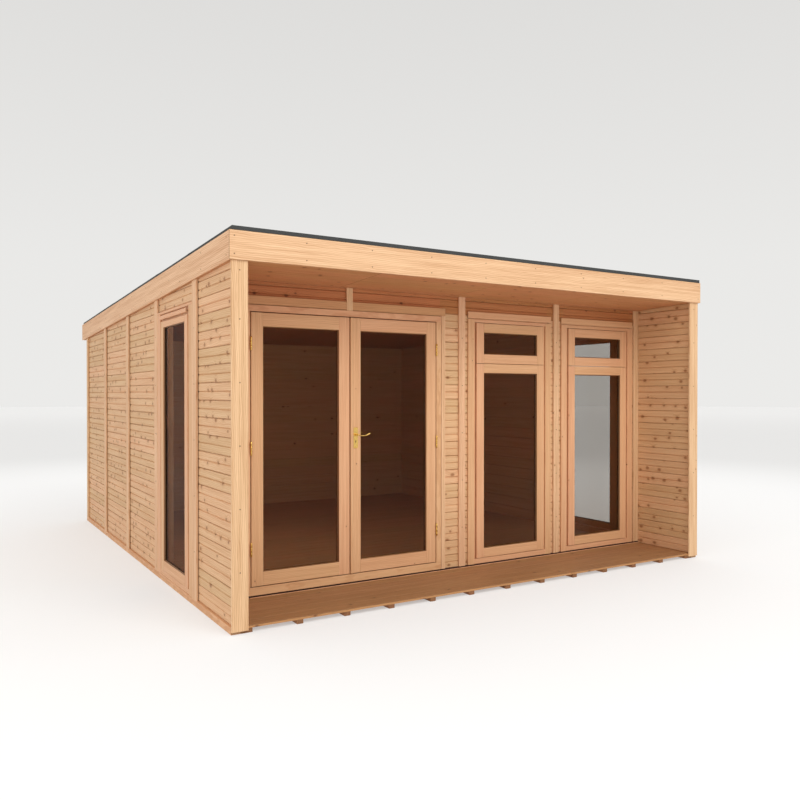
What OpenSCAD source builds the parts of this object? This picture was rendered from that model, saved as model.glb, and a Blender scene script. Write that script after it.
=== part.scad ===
// Garden office pod: a timber building with a pent roof, high at the front,
// a covered veranda between two wing walls, a pair of glazed doors and four
// tall windows. The origin is on the ground at the middle of the footprint,
// with the front towards -Y and +Z up.

/* [Overall size] */
// Width over the battens of the two side walls
wall_w = 4350; // [4250:10:5400]
// Depth from the corner posts to the battens of the rear wall
wall_d = 5050; // [4400:10:6200]
// Height of the roof felt at the front edge
height = 2500; // [2420:5:2900]
// Fall of the roof towards the back, in mm for each metre
roof_fall = 34; // [20:1:40]
// How far the roof reaches behind the rear wall
rear_eaves = 200; // [100:10:300]
// Depth of the veranda, from the posts to the battens of the front wall
veranda_d = 610; // [500:10:700]

/* [Walls] */
// Thickness of a wall, from its cladding to its inner face
wall_t = 84; // [70:2:110]
// Thickness of a wing wall beside the veranda
wing_t = 64; // [50:2:80]
// Thickness of battens, trims and fascia boards
board_t = 16; // [12:1:20]
// Width of a batten on the front wall
front_batten_w = 62; // [50:2:80]
// Width of a batten on a side wall or the rear wall
side_batten_w = 96; // [70:2:110]
// Width of the boards that face the corner posts
post_w = 108; // [90:2:120]
// Height of the lower end of the corner posts above the ground
post_lift = 18; // [0:1:25]
// Distance from the inner face of the front wall to the first joint of a side wall
joint_back = 67; // [0:1:120]

/* [Base] */
// Height of the bearers
bearer_h = 27; // [22:1:40]
// Width of a bearer
bearer_w = 44; // [30:1:60]
// Gap between the outermost bearers and the side rails
bearer_gap = 35; // [10:1:80]
// Number of bearers, an odd number
bearer_n = 13; // [11:2:13]
// Thickness of the floor and deck boards
floor_t = 18; // [15:1:24]
// Width of the rails around the base
rail_w = 60; // [45:1:75]
// How far the deck stands back behind the boards of the posts
deck_back = 0; // [0:1:10]
// Height of the sill strip under the front wall
sill_h = 13; // [10:1:20]
// How far the sill strip stands out from the battens
sill_out = 14; // [8:1:20]

/* [Roof] */
// Height of the fascia boards
fascia_h = 180; // [150:2:200]
// Thickness of the boards of the ceiling and the soffit
soffit_t = 14; // [10:1:20]
// Thickness of the roof boards
roof_board_t = 20; // [16:1:24]
// Thickness of the felt on top
felt_t = 5; // [3:1:8]
// Thickness of the felt where it turns down over the edge
felt_edge_t = 3; // [2:1:5]
// Width of a roof joist
joist_w = 45; // [38:1:60]
// Number of roof joists
joist_n = 9; // [7:1:11]

/* [Doors] */
// Width of one door leaf
leaf_w = 775; // [700:5:780]
// Height of a door leaf
leaf_h = 1927; // [1800:1:1940]
// Thickness of a door leaf
leaf_t = 44; // [36:1:50]
// Gap around a leaf and between the two leaves
leaf_gap = 7; // [7:0.5:9]
// Width of the stiles of a leaf
stile_w = 88; // [75:1:110]
// Height of the top rail and the bottom rail of a leaf
rail_h = 96; // [80:1:130]
// Width of the door frame's posts and head
jamb_w = 46; // [40:1:50]
// Height of the threshold above the sill strip
threshold_h = 58; // [40:1:70]
// How far the door stop reaches past the edge of a leaf
stop_w = 14; // [10:1:20]
// Width of the trim beside and over the doors
door_trim_w = 38; // [30:1:44]
// Height of the board over the doors
door_head_h = 62; // [50:1:66]
// Width of the strip on the meeting edge of the right leaf
strip_w = 24; // [18:1:26]
// Thickness of the strip on the meeting edge
strip_t = 8; // [6:1:12]

/* [Hinges and handle] */
// Length of a hinge
hinge_h = 100; // [80:2:120]
// Diameter of a hinge knuckle
knuckle_d = 13; // [11:0.5:15]
// Diameter of a hinge pin
pin_d = 6; // [5:0.5:7]
// Radial clearance of the pin in the door's knuckle
pin_clear = 0.05; // [0.02:0.01:0.1]
// Gap between the knuckles of one hinge
knuckle_gap = 0.6; // [0.5:0.1:1]
// Distance from the face of the leaf to the middle of the pin
pin_out = 9.5; // [9:0.5:11]
// Thickness of a hinge tab
tab_t = 2; // [1.5:0.5:3]
// Height of the middle of the lowest hinge above the leaf's lower edge
hinge_low = 262; // [200:2:300]
// Height of the middle of the second hinge above the leaf's lower edge
hinge_mid = 970; // [850:2:1100]
// Height of the middle of the top hinge above the leaf's lower edge
hinge_top = 1708; // [1550:2:1720]
// Width of the handle plate
plate_w = 38; // [30:1:40]
// Height of the handle plate
plate_h = 158; // [140:2:180]
// Thickness of the handle plate
plate_t = 4; // [3:0.5:6]
// Height of the spindle above the leaf's lower edge
spindle_up = 1046; // [950:2:1100]
// Height of the spindle above the plate's lower edge
plate_low = 103; // [90:1:110]
// Distance from the spindle down to the keyhole
keyhole_down = 48; // [40:1:60]
// Diameter of a lever's boss
boss_d = 17; // [14:0.5:20]
// Diameter of the spindle that joins the two levers
spindle_d = 8; // [7:0.5:10]
// Gap between the spindle and its hole in the leaf
spindle_gap = 2; // [1:0.5:3]
// Distance from the plate to the middle of the lever
lever_out = 46; // [38:1:55]
// Length of the lever from the spindle to its end
lever_l = 104; // [90:1:125]
// Thickness of the lever
lever_t = 9; // [8:0.5:12]

/* [Windows] */
// Width of a window sash
sash_w = 738; // [640:2:760]
// Width of the rails of a sash
sash_rail = 76; // [60:1:90]
// Thickness of a sash
sash_t = 45; // [40:1:50]
// Height of the lower edge of the front windows' sash above the sill strip
front_sash_low = 47; // [40:1:60]
// Height of the lower edge of the side windows' sash above the base
side_sash_low = 43; // [36:1:60]
// Height of a front window over its two sashes
front_sash_h = 1963; // [1700:1:1990]
// Height of the top light over the lower sash
top_light_h = 335; // [280:1:400]
// Height of a side window's sash
side_sash_h = 1987; // [1700:1:2000]
// Gap between the two sashes and around a sash
sash_gap = 4; // [3:0.5:6]
// Width of a window frame from the sash's edge to the wall
frame_w = 51; // [44:1:56]
// How far the sash overlaps the frame behind it
sash_lap = 19; // [15:1:25]
// Width of the trim around a front window
window_trim_w = 66; // [50:1:70]
// Thickness of a glazing unit
glass_t = 20; // [14:1:24]
// How far the glass lies behind the face of its sash or leaf
glass_in = 14; // [10:1:20]

/* [Hidden] */

$fn = 48;

pine = [0.86, 0.66, 0.45];
pine_dark = [0.62, 0.40, 0.24];
deck_brown = [0.55, 0.38, 0.22];
brass = [0.80, 0.65, 0.22];
pane = [0.25, 0.17, 0.13, 0.7];
felt_black = [0.13, 0.14, 0.14];

// Widths and depths
hw = wall_w / 2;
roof_l = wall_d + rear_eaves + board_t;
y_edge = -roof_l / 2;                 // front of the front fascia
y_post = y_edge + board_t;            // front of the corner posts
y_end = y_edge + roof_l;              // back of the rear fascia
y_deck = y_post + board_t + deck_back; // front of the deck and the bearers
y_front = y_post + veranda_d;         // face of the front battens
y_clad = y_front + board_t;           // outer face of the front wall
y_room = y_clad + wall_t;             // inner face of the front wall
y_joint = y_room + joint_back;        // joint of wing wall and side wall
y_back = y_post + wall_d;             // face of the rear battens
y_rear = y_back - board_t;            // outer face of the rear wall
x_clad = hw - board_t;                // outer face of a side wall
x_room = x_clad - wall_t;             // inner face of a side wall
x_wing = x_clad - wing_t;             // inner face of a wing wall

// Heights
slope = roof_fall / 1000;
seat = 0.1;                           // clearance where a piece meets a sloping one
z_floor = bearer_h + floor_t;
z_sill = z_floor + sill_h;
z_threshold = z_sill + threshold_h;
z_leaf = z_threshold + leaf_gap;
z_head = z_leaf + leaf_h + leaf_gap;
z_head_top = z_head + jamb_w;
function roof_z(y) = height - slope * (y - y_edge);
function deck_z(y) = roof_z(y) - felt_t - roof_board_t;
function soffit_z(y) = deck_z(y) - fascia_h;

// Grid of the panels: four across the front and the rear, four along a side
front_bay = (x_wing - 23) / 2;
side_bay = (y_back - 37 - y_joint) / 4;
side_y = [for (i = [0:4]) y_joint + i * side_bay];
door_x = -front_bay - 6;              // middle of the doors
win_x = [0.5 * front_bay, 1.5 * front_bay];
side_win_y = (side_y[0] + side_y[1]) / 2;

// Doors
door_half = leaf_w + 1.5 * leaf_gap;  // half the clear width between the jambs
door_out = door_half + jamb_w;        // half the width over the door frame
hinge_x = door_half - leaf_gap / 2;   // hinge pin from the middle of the doors
hinge_y = y_front - pin_out;
hinge_z = [z_leaf + hinge_low, z_leaf + hinge_mid, z_leaf + hinge_top];
spindle_x = door_x + leaf_gap / 2 + strip_w + 1 + plate_w / 2;
spindle_z = z_leaf + spindle_up;
door_trim_gap = 5;
stop_gap = 5;                         // from the back of a leaf to its stop

// Windows
win_half = sash_w / 2 + frame_w;      // half the width of a window's hole
y_sash = y_front;                     // outer face of a front sash
x_sash = hw;                          // outer face of a side sash
front_z0 = z_sill + front_sash_low;
front_z1 = front_z0 + front_sash_h;
light_z = front_z1 - top_light_h;
side_z0 = z_floor + side_sash_low;
side_z1 = side_z0 + side_sash_h;
sill_gap = 7;                         // dark gap under a frame's lower piece

// ---- Shapes that repeat ----

// Extrudes a (y, z) outline from x0 to x1
module across(x0, x1, pts)
    translate([x0, 0, 0]) rotate([90, 0, 90])
        linear_extrude(height = x1 - x0) polygon(pts);

// Box from one corner to the other
module box(a, b) translate(a) cube(b - a);

// Upright slab from z0 to the sloping underside of the ceiling
module slab(x0, x1, y0, y1, z0)
    across(x0, x1, [[y0, z0], [y1, z0], [y1, soffit_z(y1) - seat], [y0, soffit_z(y0) - seat]]);

// Sloping layer of the roof, with its lower side dz above the ceiling's
module layer(x0, x1, y0, y1, dz, t)
    across(x0, x1, [[y0, soffit_z(y0) + dz], [y1, soffit_z(y1) + dz],
                    [y1, soffit_z(y1) + dz + t], [y0, soffit_z(y0) + dz + t]]);

module mirrored() { children(); mirror([1, 0, 0]) children(); }

// Rectangular ring in the XZ plane between two boxes, from y0 to y1
module ring(out_x, out_z0, out_z1, in_x, in_z0, in_z1, y0, y1)
    difference() {
        box([-out_x, y0, out_z0], [out_x, y1, out_z1]);
        box([-in_x, y0 - 1, in_z0], [in_x, y1 + 1, in_z1]);
    }

// Turns a shape drawn for the front wall so that it faces a side
module on_side(side)
    translate([side * x_sash, side_win_y, 0])
        rotate([0, 0, side * 90]) children();

// ---- Base ----

bearer_pitch = (wall_w - 2 * (rail_w + bearer_gap) - bearer_w) / (bearer_n - 1);

module bearers() color(pine_dark)
    for (i = [0:bearer_n - 1])
        translate([(i - (bearer_n - 1) / 2) * bearer_pitch - bearer_w / 2, y_deck, 0])
            cube([bearer_w, y_back - rail_w - y_deck, bearer_h]);

module side_base_rails() color(pine)
    mirrored() box([hw - rail_w, y_post + board_t, 0], [hw, y_back, z_floor]);

module rear_base_rail() color(pine)
    box([-hw + rail_w, y_back - rail_w, 0], [hw - rail_w, y_back, z_floor]);

module veranda_deck() color(deck_brown)
    box([-hw + rail_w, y_deck, bearer_h], [hw - rail_w, y_clad, z_floor]);

module floor() color(deck_brown)
    box([-hw + rail_w, y_clad, bearer_h], [hw - rail_w, y_back - rail_w, z_floor]);

// ---- Walls ----

module side_wall() difference() {
    slab(x_room, x_clad, y_joint, y_rear, z_floor);
    box([x_room - 1, side_win_y - win_half, z_floor - 1],
        [x_clad + 1, side_win_y + win_half, side_z1 + frame_w]);
}
module left_wall() color(pine) mirror([1, 0, 0]) side_wall();
module right_wall() color(pine) side_wall();

module rear_wall() color(pine)
    slab(-x_room, x_room, y_rear - wall_t, y_rear, z_floor);

module wing_wall() slab(x_wing, x_clad, y_post + board_t, y_joint, z_floor);
module left_wing_wall() color(pine) mirror([1, 0, 0]) wing_wall();
module right_wing_wall() color(pine) wing_wall();

module front_sill() color(pine)
    box([-x_wing, y_front - sill_out, z_floor], [x_wing, y_room, z_sill]);

module front_wall_left() color(pine)
    slab(-x_wing, door_x - door_out, y_clad, y_room, z_sill);

module front_wall_over_doors() color(pine)
    slab(door_x - door_out, door_x + door_out, y_clad, y_room, z_head_top);

module front_wall_right() color(pine) difference() {
    slab(door_x + door_out, x_wing, y_clad, y_room, z_sill);
    for (x = win_x)
        box([x - win_half, y_clad - 1, z_sill - 1],
            [x + win_half, y_room + 1, front_z1 + frame_w]);
}

module corner_posts() color(pine)
    mirrored() translate([hw - post_w, y_post, post_lift])
        cube([post_w, board_t, soffit_z(y_post + board_t) - post_lift]);

// Battens over the panel joints
module side_battens() {
    for (i = [0:3])
        slab(x_clad, hw, side_y[i] - side_batten_w / 2, side_y[i] + side_batten_w / 2, z_floor);
    slab(x_clad, hw, side_y[4] - side_batten_w / 2, y_back, z_floor);
}
module left_battens() color(pine) mirror([1, 0, 0]) side_battens();
module right_battens() color(pine) side_battens();

module rear_battens() color(pine) {
    for (i = [-1:1])
        slab(i * front_bay - side_batten_w / 2, i * front_bay + side_batten_w / 2,
             y_rear, y_back, z_floor);
    mirrored() slab(x_clad - side_batten_w, x_clad, y_rear, y_back, z_floor);
}

module front_battens() color(pine) {
    for (x = [0, front_bay])
        slab(x - front_batten_w / 2, x + front_batten_w / 2, y_front, y_clad, z_sill);
    mirrored() slab(x_wing - front_batten_w - 2, x_wing, y_front, y_clad, z_sill);
    slab(door_x - front_batten_w / 2 + 5, door_x + front_batten_w / 2 - 5,
         y_front, y_clad, z_head_top);
}

// ---- Doors ----

module door_frame() color(pine) translate([door_x, 0, 0]) difference() {
    box([-door_out, y_front, z_sill], [door_out, y_room, z_head_top]);
    // pocket that the leaves close into
    box([-door_half, y_front - 1, z_threshold],
        [door_half, y_front + leaf_t + stop_gap, z_head]);
    // doorway inside the stops
    box([-door_half + leaf_gap + stop_w, y_front - 1, z_threshold + leaf_gap + stop_w],
        [door_half - leaf_gap - stop_w, y_room + 1, z_head - leaf_gap - stop_w]);
    // groove above the sill
    box([-door_out - 1, y_front - 1, z_sill - 1],
        [door_out + 1, y_front + 20, z_sill + sill_gap]);
}

module door_trim() color(pine) {
    trim_x = door_out + door_trim_gap;
    // upright trim on the window side
    box([door_x + trim_x, y_front + 2, z_sill], [door_x + trim_x + door_trim_w, y_clad, z_head_top + 4]);
    // upright trim on the wing side
    box([door_x - trim_x - door_trim_w, y_front + 2, z_sill], [door_x - trim_x, y_clad, z_head_top + 4]);
    // head board in two lengths, either side of the middle batten
    for (s = [-1, 1]) {
        a = door_x + s * (front_batten_w / 2 - 5);
        b = door_x + s * (trim_x + door_trim_w);
        box([min(a, b), y_front + 2, z_head_top + 4], [max(a, b), y_clad, z_head_top + 4 + door_head_h]);
    }
}

// Stiles and rails of a leaf with its lower left corner at the origin
module leaf() difference() {
    cube([leaf_w, leaf_t, leaf_h]);
    translate([stile_w, -1, rail_h])
        cube([leaf_w - 2 * stile_w, leaf_t + 2, leaf_h - 2 * rail_h]);
}
module leaf_glass()
    translate([stile_w, glass_in, rail_h])
        cube([leaf_w - 2 * stile_w, glass_t, leaf_h - 2 * rail_h]);

left_leaf = [door_x - leaf_gap / 2 - leaf_w, y_front, z_leaf];
right_leaf = [door_x + leaf_gap / 2, y_front, z_leaf];

module left_door() color(pine) translate(left_leaf) leaf();
module left_door_glass() color(pane) translate(left_leaf) leaf_glass();
module right_door() color(pine) difference() {
    translate(right_leaf) leaf();
    // hole for the spindle of the lock
    translate([spindle_x, y_front - 1, spindle_z]) rotate([-90, 0, 0])
        cylinder(d = spindle_d + 2 * spindle_gap, h = leaf_t + 2);
}
module right_door_glass() color(pane) translate(right_leaf) leaf_glass();

module meeting_strip() color(pine)
    translate([right_leaf[0], y_front - strip_t, z_leaf]) cube([strip_w, strip_t, leaf_h]);

// One hinge, seen with the frame on its left: two outer knuckles and the pin
// belong to the frame, the middle knuckle to the leaf
module hinge_frame_half() {
    third = (hinge_h - 2 * knuckle_gap) / 3;
    for (z = [-hinge_h / 2, hinge_h / 2 - third]) translate([0, 0, z]) {
        cylinder(d = knuckle_d, h = third);
        // tab that the screws hold to the frame
        box([-20, pin_out - tab_t, 0], [-leaf_gap / 2, pin_out, third]);
        box([-leaf_gap / 2 - 0.5, 0, 0], [-leaf_gap / 2 + 1, pin_out, third]);
    }
    translate([0, 0, -hinge_h / 2]) cylinder(d = pin_d, h = hinge_h);
}
module hinge_leaf_half() {
    third = (hinge_h - 2 * knuckle_gap) / 3;
    translate([0, 0, -third / 2]) difference() {
        union() {
            cylinder(d = knuckle_d, h = third);
            box([leaf_gap / 2, pin_out - tab_t, 0], [20, pin_out, third]);
            box([leaf_gap / 2 - 1, 0, 0], [leaf_gap / 2 + 0.5, pin_out, third]);
        }
        translate([0, 0, -1]) cylinder(d = pin_d + 2 * pin_clear, h = third + 2);
    }
}
module at_hinges(side)
    for (z = hinge_z)
        translate([door_x + side * hinge_x, hinge_y, z])
            scale([-side, 1, 1]) children();

module left_hinge_frame_halves() color(brass) at_hinges(-1) hinge_frame_half();
module left_hinge_leaf_halves() color(brass) at_hinges(-1) hinge_leaf_half();
module right_hinge_frame_halves() color(brass) at_hinges(1) hinge_frame_half();
module right_hinge_leaf_halves() color(brass) at_hinges(1) hinge_leaf_half();

// Turns what is drawn for the outside of the lock to its inside as well
module both_sides() {
    translate([spindle_x, y_front, spindle_z]) children();
    translate([spindle_x, y_front + leaf_t, spindle_z]) mirror([0, 1, 0]) children();
}

module handle_plates() color(brass)
    both_sides() difference() {
        box([-plate_w / 2, -plate_t, -plate_low], [plate_w / 2, 0, plate_h - plate_low]);
        rotate([90, 0, 0]) translate([0, 0, -1])
            cylinder(d = boss_d + 2 * pin_clear, h = plate_t + 2);
        // keyhole
        translate([0, 0, -keyhole_down]) rotate([90, 0, 0]) translate([0, 0, -1])
            cylinder(d = 9, h = plate_t + 2);
        box([-2, -plate_t - 1, -keyhole_down - 18], [2, 1, -keyhole_down]);
    }

// The lever runs out level, dips a little and curls up at its end
function lever_z(x) = -7 * sin(180 * min(1, x / (0.82 * lever_l)))
    + (x > 0.62 * lever_l ? 11 * pow((x - 0.62 * lever_l) / (0.38 * lever_l), 2) : 0);
lever_x = [for (i = [0:14]) i * lever_l / 14];

module lever_handle() color(brass) {
    both_sides() {
        translate([0, -0.3, 0]) rotate([90, 0, 0]) cylinder(d = boss_d, h = lever_out - 5);
        translate([0, -lever_out + 5.5, 0]) rotate([90, 0, 0])
            linear_extrude(height = 11) {
                circle(d = boss_d);
                polygon(concat([for (x = lever_x) [x, lever_z(x) + lever_t / 2]],
                               [for (i = [14:-1:0]) [lever_x[i], lever_z(lever_x[i]) - lever_t / 2]]));
            }
    }
    translate([spindle_x, y_front - 2, spindle_z]) rotate([-90, 0, 0])
        cylinder(d = spindle_d, h = leaf_t + 4);
}

// ---- Windows, drawn facing -Y with the middle of the sash's face at x = 0, y = 0 ----

// Frame: a deep ring that the sash closes on, with a shallow rim around the sash
module window_frame(z0, z1, trim_out, trim_top, z_low) {
    d = board_t + wall_t;
    difference() {
        box([-win_half, sash_t, z_low], [win_half, d, z1 + frame_w]);
        box([-sash_w / 2 + sash_lap, -1, z0 + sash_lap],
            [sash_w / 2 - sash_lap, d + 1, z1 - sash_lap]);
    }
    ring(win_half, z_low + sill_gap, z1 + frame_w, sash_w / 2 + sash_gap,
         z0 - sash_gap, z1 + sash_gap, board_t, sash_t);
    // lower piece under the sash
    box([-sash_w / 2 - 21, 4, z_low + sill_gap], [sash_w / 2 + 21, board_t, z0 - sash_gap]);
    // trims on the wall's face
    trim_in = sash_w / 2 + 21;
    for (s = [-1, 1])
        box([min(s * trim_in, s * trim_out), 2, z_low],
            [max(s * trim_in, s * trim_out), board_t, z1 + 30]);
    box([-trim_out, 2, z1 + 30], [trim_out, board_t, z1 + 30 + trim_top]);
}

module window_sash(z0, z1)
    ring(sash_w / 2, z0, z1, sash_w / 2 - sash_rail, z0 + sash_rail, z1 - sash_rail, 0, sash_t);

module window_glass(z0, z1)
    box([-sash_w / 2 + sash_rail, glass_in, z0 + sash_rail],
        [sash_w / 2 - sash_rail, glass_in + glass_t, z1 - sash_rail]);

module front_window_frames() color(pine)
    for (x = win_x) translate([x, y_sash, 0])
        window_frame(front_z0, front_z1, sash_w / 2 + 21 + window_trim_w, 62, z_sill);

module front_window_sashes() color(pine)
    for (x = win_x) translate([x, y_sash, 0]) {
        window_sash(front_z0, light_z - sash_gap);
        window_sash(light_z, front_z1);
    }

module front_window_glass() color(pane)
    for (x = win_x) translate([x, y_sash, 0]) {
        window_glass(front_z0, light_z - sash_gap);
        window_glass(light_z, front_z1);
    }

module side_window_frames() color(pine)
    for (s = [-1, 1]) on_side(s)
        window_frame(side_z0, side_z1, side_bay / 2 - side_batten_w / 2, 14, z_floor);

module side_window_sashes() color(pine)
    for (s = [-1, 1]) on_side(s) window_sash(side_z0, side_z1);

module side_window_glass() color(pane)
    for (s = [-1, 1]) on_side(s) window_glass(side_z0, side_z1);

// ---- Roof ----

module ceiling() color(pine_dark)
    layer(-hw, hw, y_post, y_end - board_t, 0, soffit_t);

module roof_joists() color(pine)
    for (i = [0:joist_n - 1]) {
        x = -hw + joist_w / 2 + i * (wall_w - joist_w) / (joist_n - 1);
        layer(x - joist_w / 2, x + joist_w / 2, y_post, y_end - board_t,
              soffit_t + seat, fascia_h - soffit_t - 2 * seat);
    }

module roof_boards() color(pine)
    layer(-hw + felt_edge_t, hw - felt_edge_t, y_edge + felt_edge_t, y_end - felt_edge_t,
          fascia_h, roof_board_t);

module roof_felt() color(felt_black) difference() {
    layer(-hw, hw, y_edge, y_end, fascia_h, roof_board_t + felt_t);
    layer(-hw + felt_edge_t, hw - felt_edge_t, y_edge + felt_edge_t, y_end - felt_edge_t,
          fascia_h - 1, roof_board_t + 1);
}

module front_fascia() color(pine)
    box([-hw - board_t, y_edge, soffit_z(y_edge)], [hw + board_t, y_post, deck_z(y_post)]);

module side_fascias() color(pine)
    mirrored() layer(hw, hw + board_t, y_post, y_end, 0, fascia_h);

module rear_fascia() color(pine)
    box([-hw, y_end - board_t, soffit_z(y_end)], [hw, y_end, deck_z(y_end)]);

bearers();
side_base_rails();
rear_base_rail();
veranda_deck();
floor();
left_wall();
right_wall();
rear_wall();
left_wing_wall();
right_wing_wall();
front_wall_left();
front_wall_over_doors();
front_wall_right();
front_sill();
corner_posts();
left_battens();
right_battens();
rear_battens();
front_battens();
door_frame();
door_trim();
left_door();
left_door_glass();
right_door();
right_door_glass();
meeting_strip();
left_hinge_frame_halves();
left_hinge_leaf_halves();
right_hinge_frame_halves();
right_hinge_leaf_halves();
handle_plates();
lever_handle();
front_window_frames();
front_window_sashes();
front_window_glass();
side_window_frames();
side_window_sashes();
side_window_glass();
ceiling();
roof_joists();
roof_boards();
roof_felt();
front_fascia();
side_fascias();
rear_fascia();
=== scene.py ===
import math
import random

import bmesh
import bpy
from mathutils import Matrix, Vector


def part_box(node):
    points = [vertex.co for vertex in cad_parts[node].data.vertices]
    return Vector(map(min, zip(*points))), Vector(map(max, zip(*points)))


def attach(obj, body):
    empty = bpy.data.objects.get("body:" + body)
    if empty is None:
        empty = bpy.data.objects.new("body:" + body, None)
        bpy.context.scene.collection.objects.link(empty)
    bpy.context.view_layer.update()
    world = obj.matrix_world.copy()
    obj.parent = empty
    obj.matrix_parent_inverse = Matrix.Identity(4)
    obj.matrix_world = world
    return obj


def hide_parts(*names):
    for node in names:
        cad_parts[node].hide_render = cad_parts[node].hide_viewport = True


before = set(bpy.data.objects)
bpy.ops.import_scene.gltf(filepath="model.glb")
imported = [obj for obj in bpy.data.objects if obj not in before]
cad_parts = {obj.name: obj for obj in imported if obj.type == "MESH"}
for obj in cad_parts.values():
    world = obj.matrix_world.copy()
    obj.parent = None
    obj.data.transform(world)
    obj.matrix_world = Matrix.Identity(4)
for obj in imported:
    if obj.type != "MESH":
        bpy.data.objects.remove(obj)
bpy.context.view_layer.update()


# ---- Bearers and base rails ----
# Rough timbers laid front to back on the ground carry the deck and the floor.
# Planed rails run around them and are screwed to their ends.

class Timber:
    """Boards of one piece. Each keeps its own direction of grain and its own tone."""

    def __init__(self, seed):
        self.bm = bmesh.new()
        self.rng = random.Random(seed)
        self.grain = self.bm.verts.layers.float_vector.new("grain")
        self.tone = self.bm.verts.layers.float.new("tone")
        self.run = self.bm.verts.layers.float_vector.new("run")

    def moulding(self, section, start, across, out, along, length):
        """A board with the given cross-section, from its start along its own length."""
        rng = self.rng
        shift = Vector((rng.uniform(0, 40), rng.uniform(0, 40), rng.uniform(0, 40)))
        tone = rng.random()
        rings = []
        for t in (0.0, length):
            ring = []
            for u, v in section:
                vert = self.bm.verts.new(start + across * u + out * v + along * t)
                vert[self.grain] = shift + Vector((t, u, v))
                vert[self.tone] = tone
                vert[self.run] = along
                ring.append(vert)
            rings.append(ring)
        n = len(section)
        faces = [self.bm.faces.new((rings[0][i], rings[0][(i + 1) % n],
                                    rings[1][(i + 1) % n], rings[1][i])) for i in range(n)]
        faces.append(self.bm.faces.new(rings[0][::-1]))
        faces.append(self.bm.faces.new(rings[1]))
        bmesh.ops.recalc_face_normals(self.bm, faces=faces)

    def board(self, lo, hi, along, edge=0.0015):
        """A straight board that fills the box, with its four long edges eased."""
        lo, hi = Vector(lo), Vector(hi)
        a, b = [i for i in range(3) if i != along]
        if hi[a] - lo[a] < hi[b] - lo[b]:
            a, b = b, a
        w, t = hi[a] - lo[a], hi[b] - lo[b]
        e = min(edge, w / 3, t / 3)
        section = [(e, 0), (w - e, 0), (w, e), (w, t - e), (w - e, t), (e, t), (0, t - e), (0, e)]
        axis = [Vector((1, 0, 0)), Vector((0, 1, 0)), Vector((0, 0, 1))]
        self.moulding(section, lo, axis[a], axis[b], axis[along], hi[along] - lo[along])

    def cut_above(self, point, normal):
        """Saws off all that lies beyond a plane, and closes the cut ends."""
        bm = self.bm
        bmesh.ops.bisect_plane(bm, geom=bm.verts[:] + bm.edges[:] + bm.faces[:], dist=1e-5,
                               plane_co=point, plane_no=normal, clear_outer=True)
        bmesh.ops.holes_fill(bm, edges=[e for e in bm.edges if e.is_boundary], sides=0)

    def slope(self, fall, y0):
        """Tilts the piece with the roof, down towards the back."""
        for v in self.bm.verts:
            v.co.z -= fall * (v.co.y - y0)

    def piece(self, name, material, body, slot, *nodes):
        bmesh.ops.triangulate(self.bm, faces=[f for f in self.bm.faces if len(f.verts) > 4])
        mesh = bpy.data.meshes.new(name)
        self.bm.to_mesh(mesh)
        self.bm.free()
        return place(name, mesh, material, body, slot, *nodes)


def place(name, mesh, material, body, slot, *nodes):
    obj = bpy.data.objects.new(name, mesh)
    bpy.context.collection.objects.link(obj)
    mesh.materials.append(material)
    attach(obj, body)
    if nodes:
        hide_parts(*nodes)
    return obj


class Nodes:
    """Short way to lay out the nodes of a material."""

    def __init__(self, name):
        self.mat = bpy.data.materials.new(name)
        self.mat.use_nodes = True
        self.tree = self.mat.node_tree
        self.shader = self.tree.nodes["Principled BSDF"]

    def add(self, kind, out=0, **inputs):
        node = self.tree.nodes.new(kind)
        for key, value in inputs.items():
            if key.startswith("i") and key[1:].isdigit():
                socket = node.inputs[int(key[1:])]
            elif key in node.inputs:
                socket = node.inputs[key]
            else:
                setattr(node, key, value)
                continue
            self.feed(socket, value)
        return node.outputs[out]

    def feed(self, socket, value):
        if isinstance(value, bpy.types.NodeSocket):
            self.tree.links.new(value, socket)
        else:
            socket.default_value = value

    def maths(self, operation, a, b=0.0, clamp=False):
        return self.add("ShaderNodeMath", operation=operation, use_clamp=clamp, i0=a, i1=b)

    def scaled(self, vector, *scale):
        return self.add("ShaderNodeMapping", Vector=vector, Scale=scale)

    def noise(self, vector, scale, detail=3.0, roughness=0.5):
        return self.add("ShaderNodeTexNoise", Vector=vector, Scale=scale, Detail=detail,
                        Roughness=roughness)

    def span(self, value, a, b, c=0.0, d=1.0, smooth=True):
        return self.add("ShaderNodeMapRange", Value=value, i1=a, i2=b, i3=c, i4=d,
                        interpolation_type="SMOOTHSTEP" if smooth else "LINEAR")

    def mix(self, factor, a, b):
        node = self.tree.nodes.new("ShaderNodeMix")
        node.data_type = "RGBA"
        self.feed(node.inputs[0], factor)
        self.feed(node.inputs[6], a)
        self.feed(node.inputs[7], b)
        return node.outputs[2]

    def done(self, **sockets):
        for key, value in sockets.items():
            self.feed(self.shader.inputs[key.replace("_", " ")], value)
        return self.mat


def colour(r, g, b):
    """A paint-chart colour, 0 to 255, as the shader wants it."""
    def lin(c):
        c /= 255
        return c / 12.92 if c <= 0.04045 else ((c + 0.055) / 1.055) ** 2.4
    return (lin(r), lin(g), lin(b), 1.0)


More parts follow.
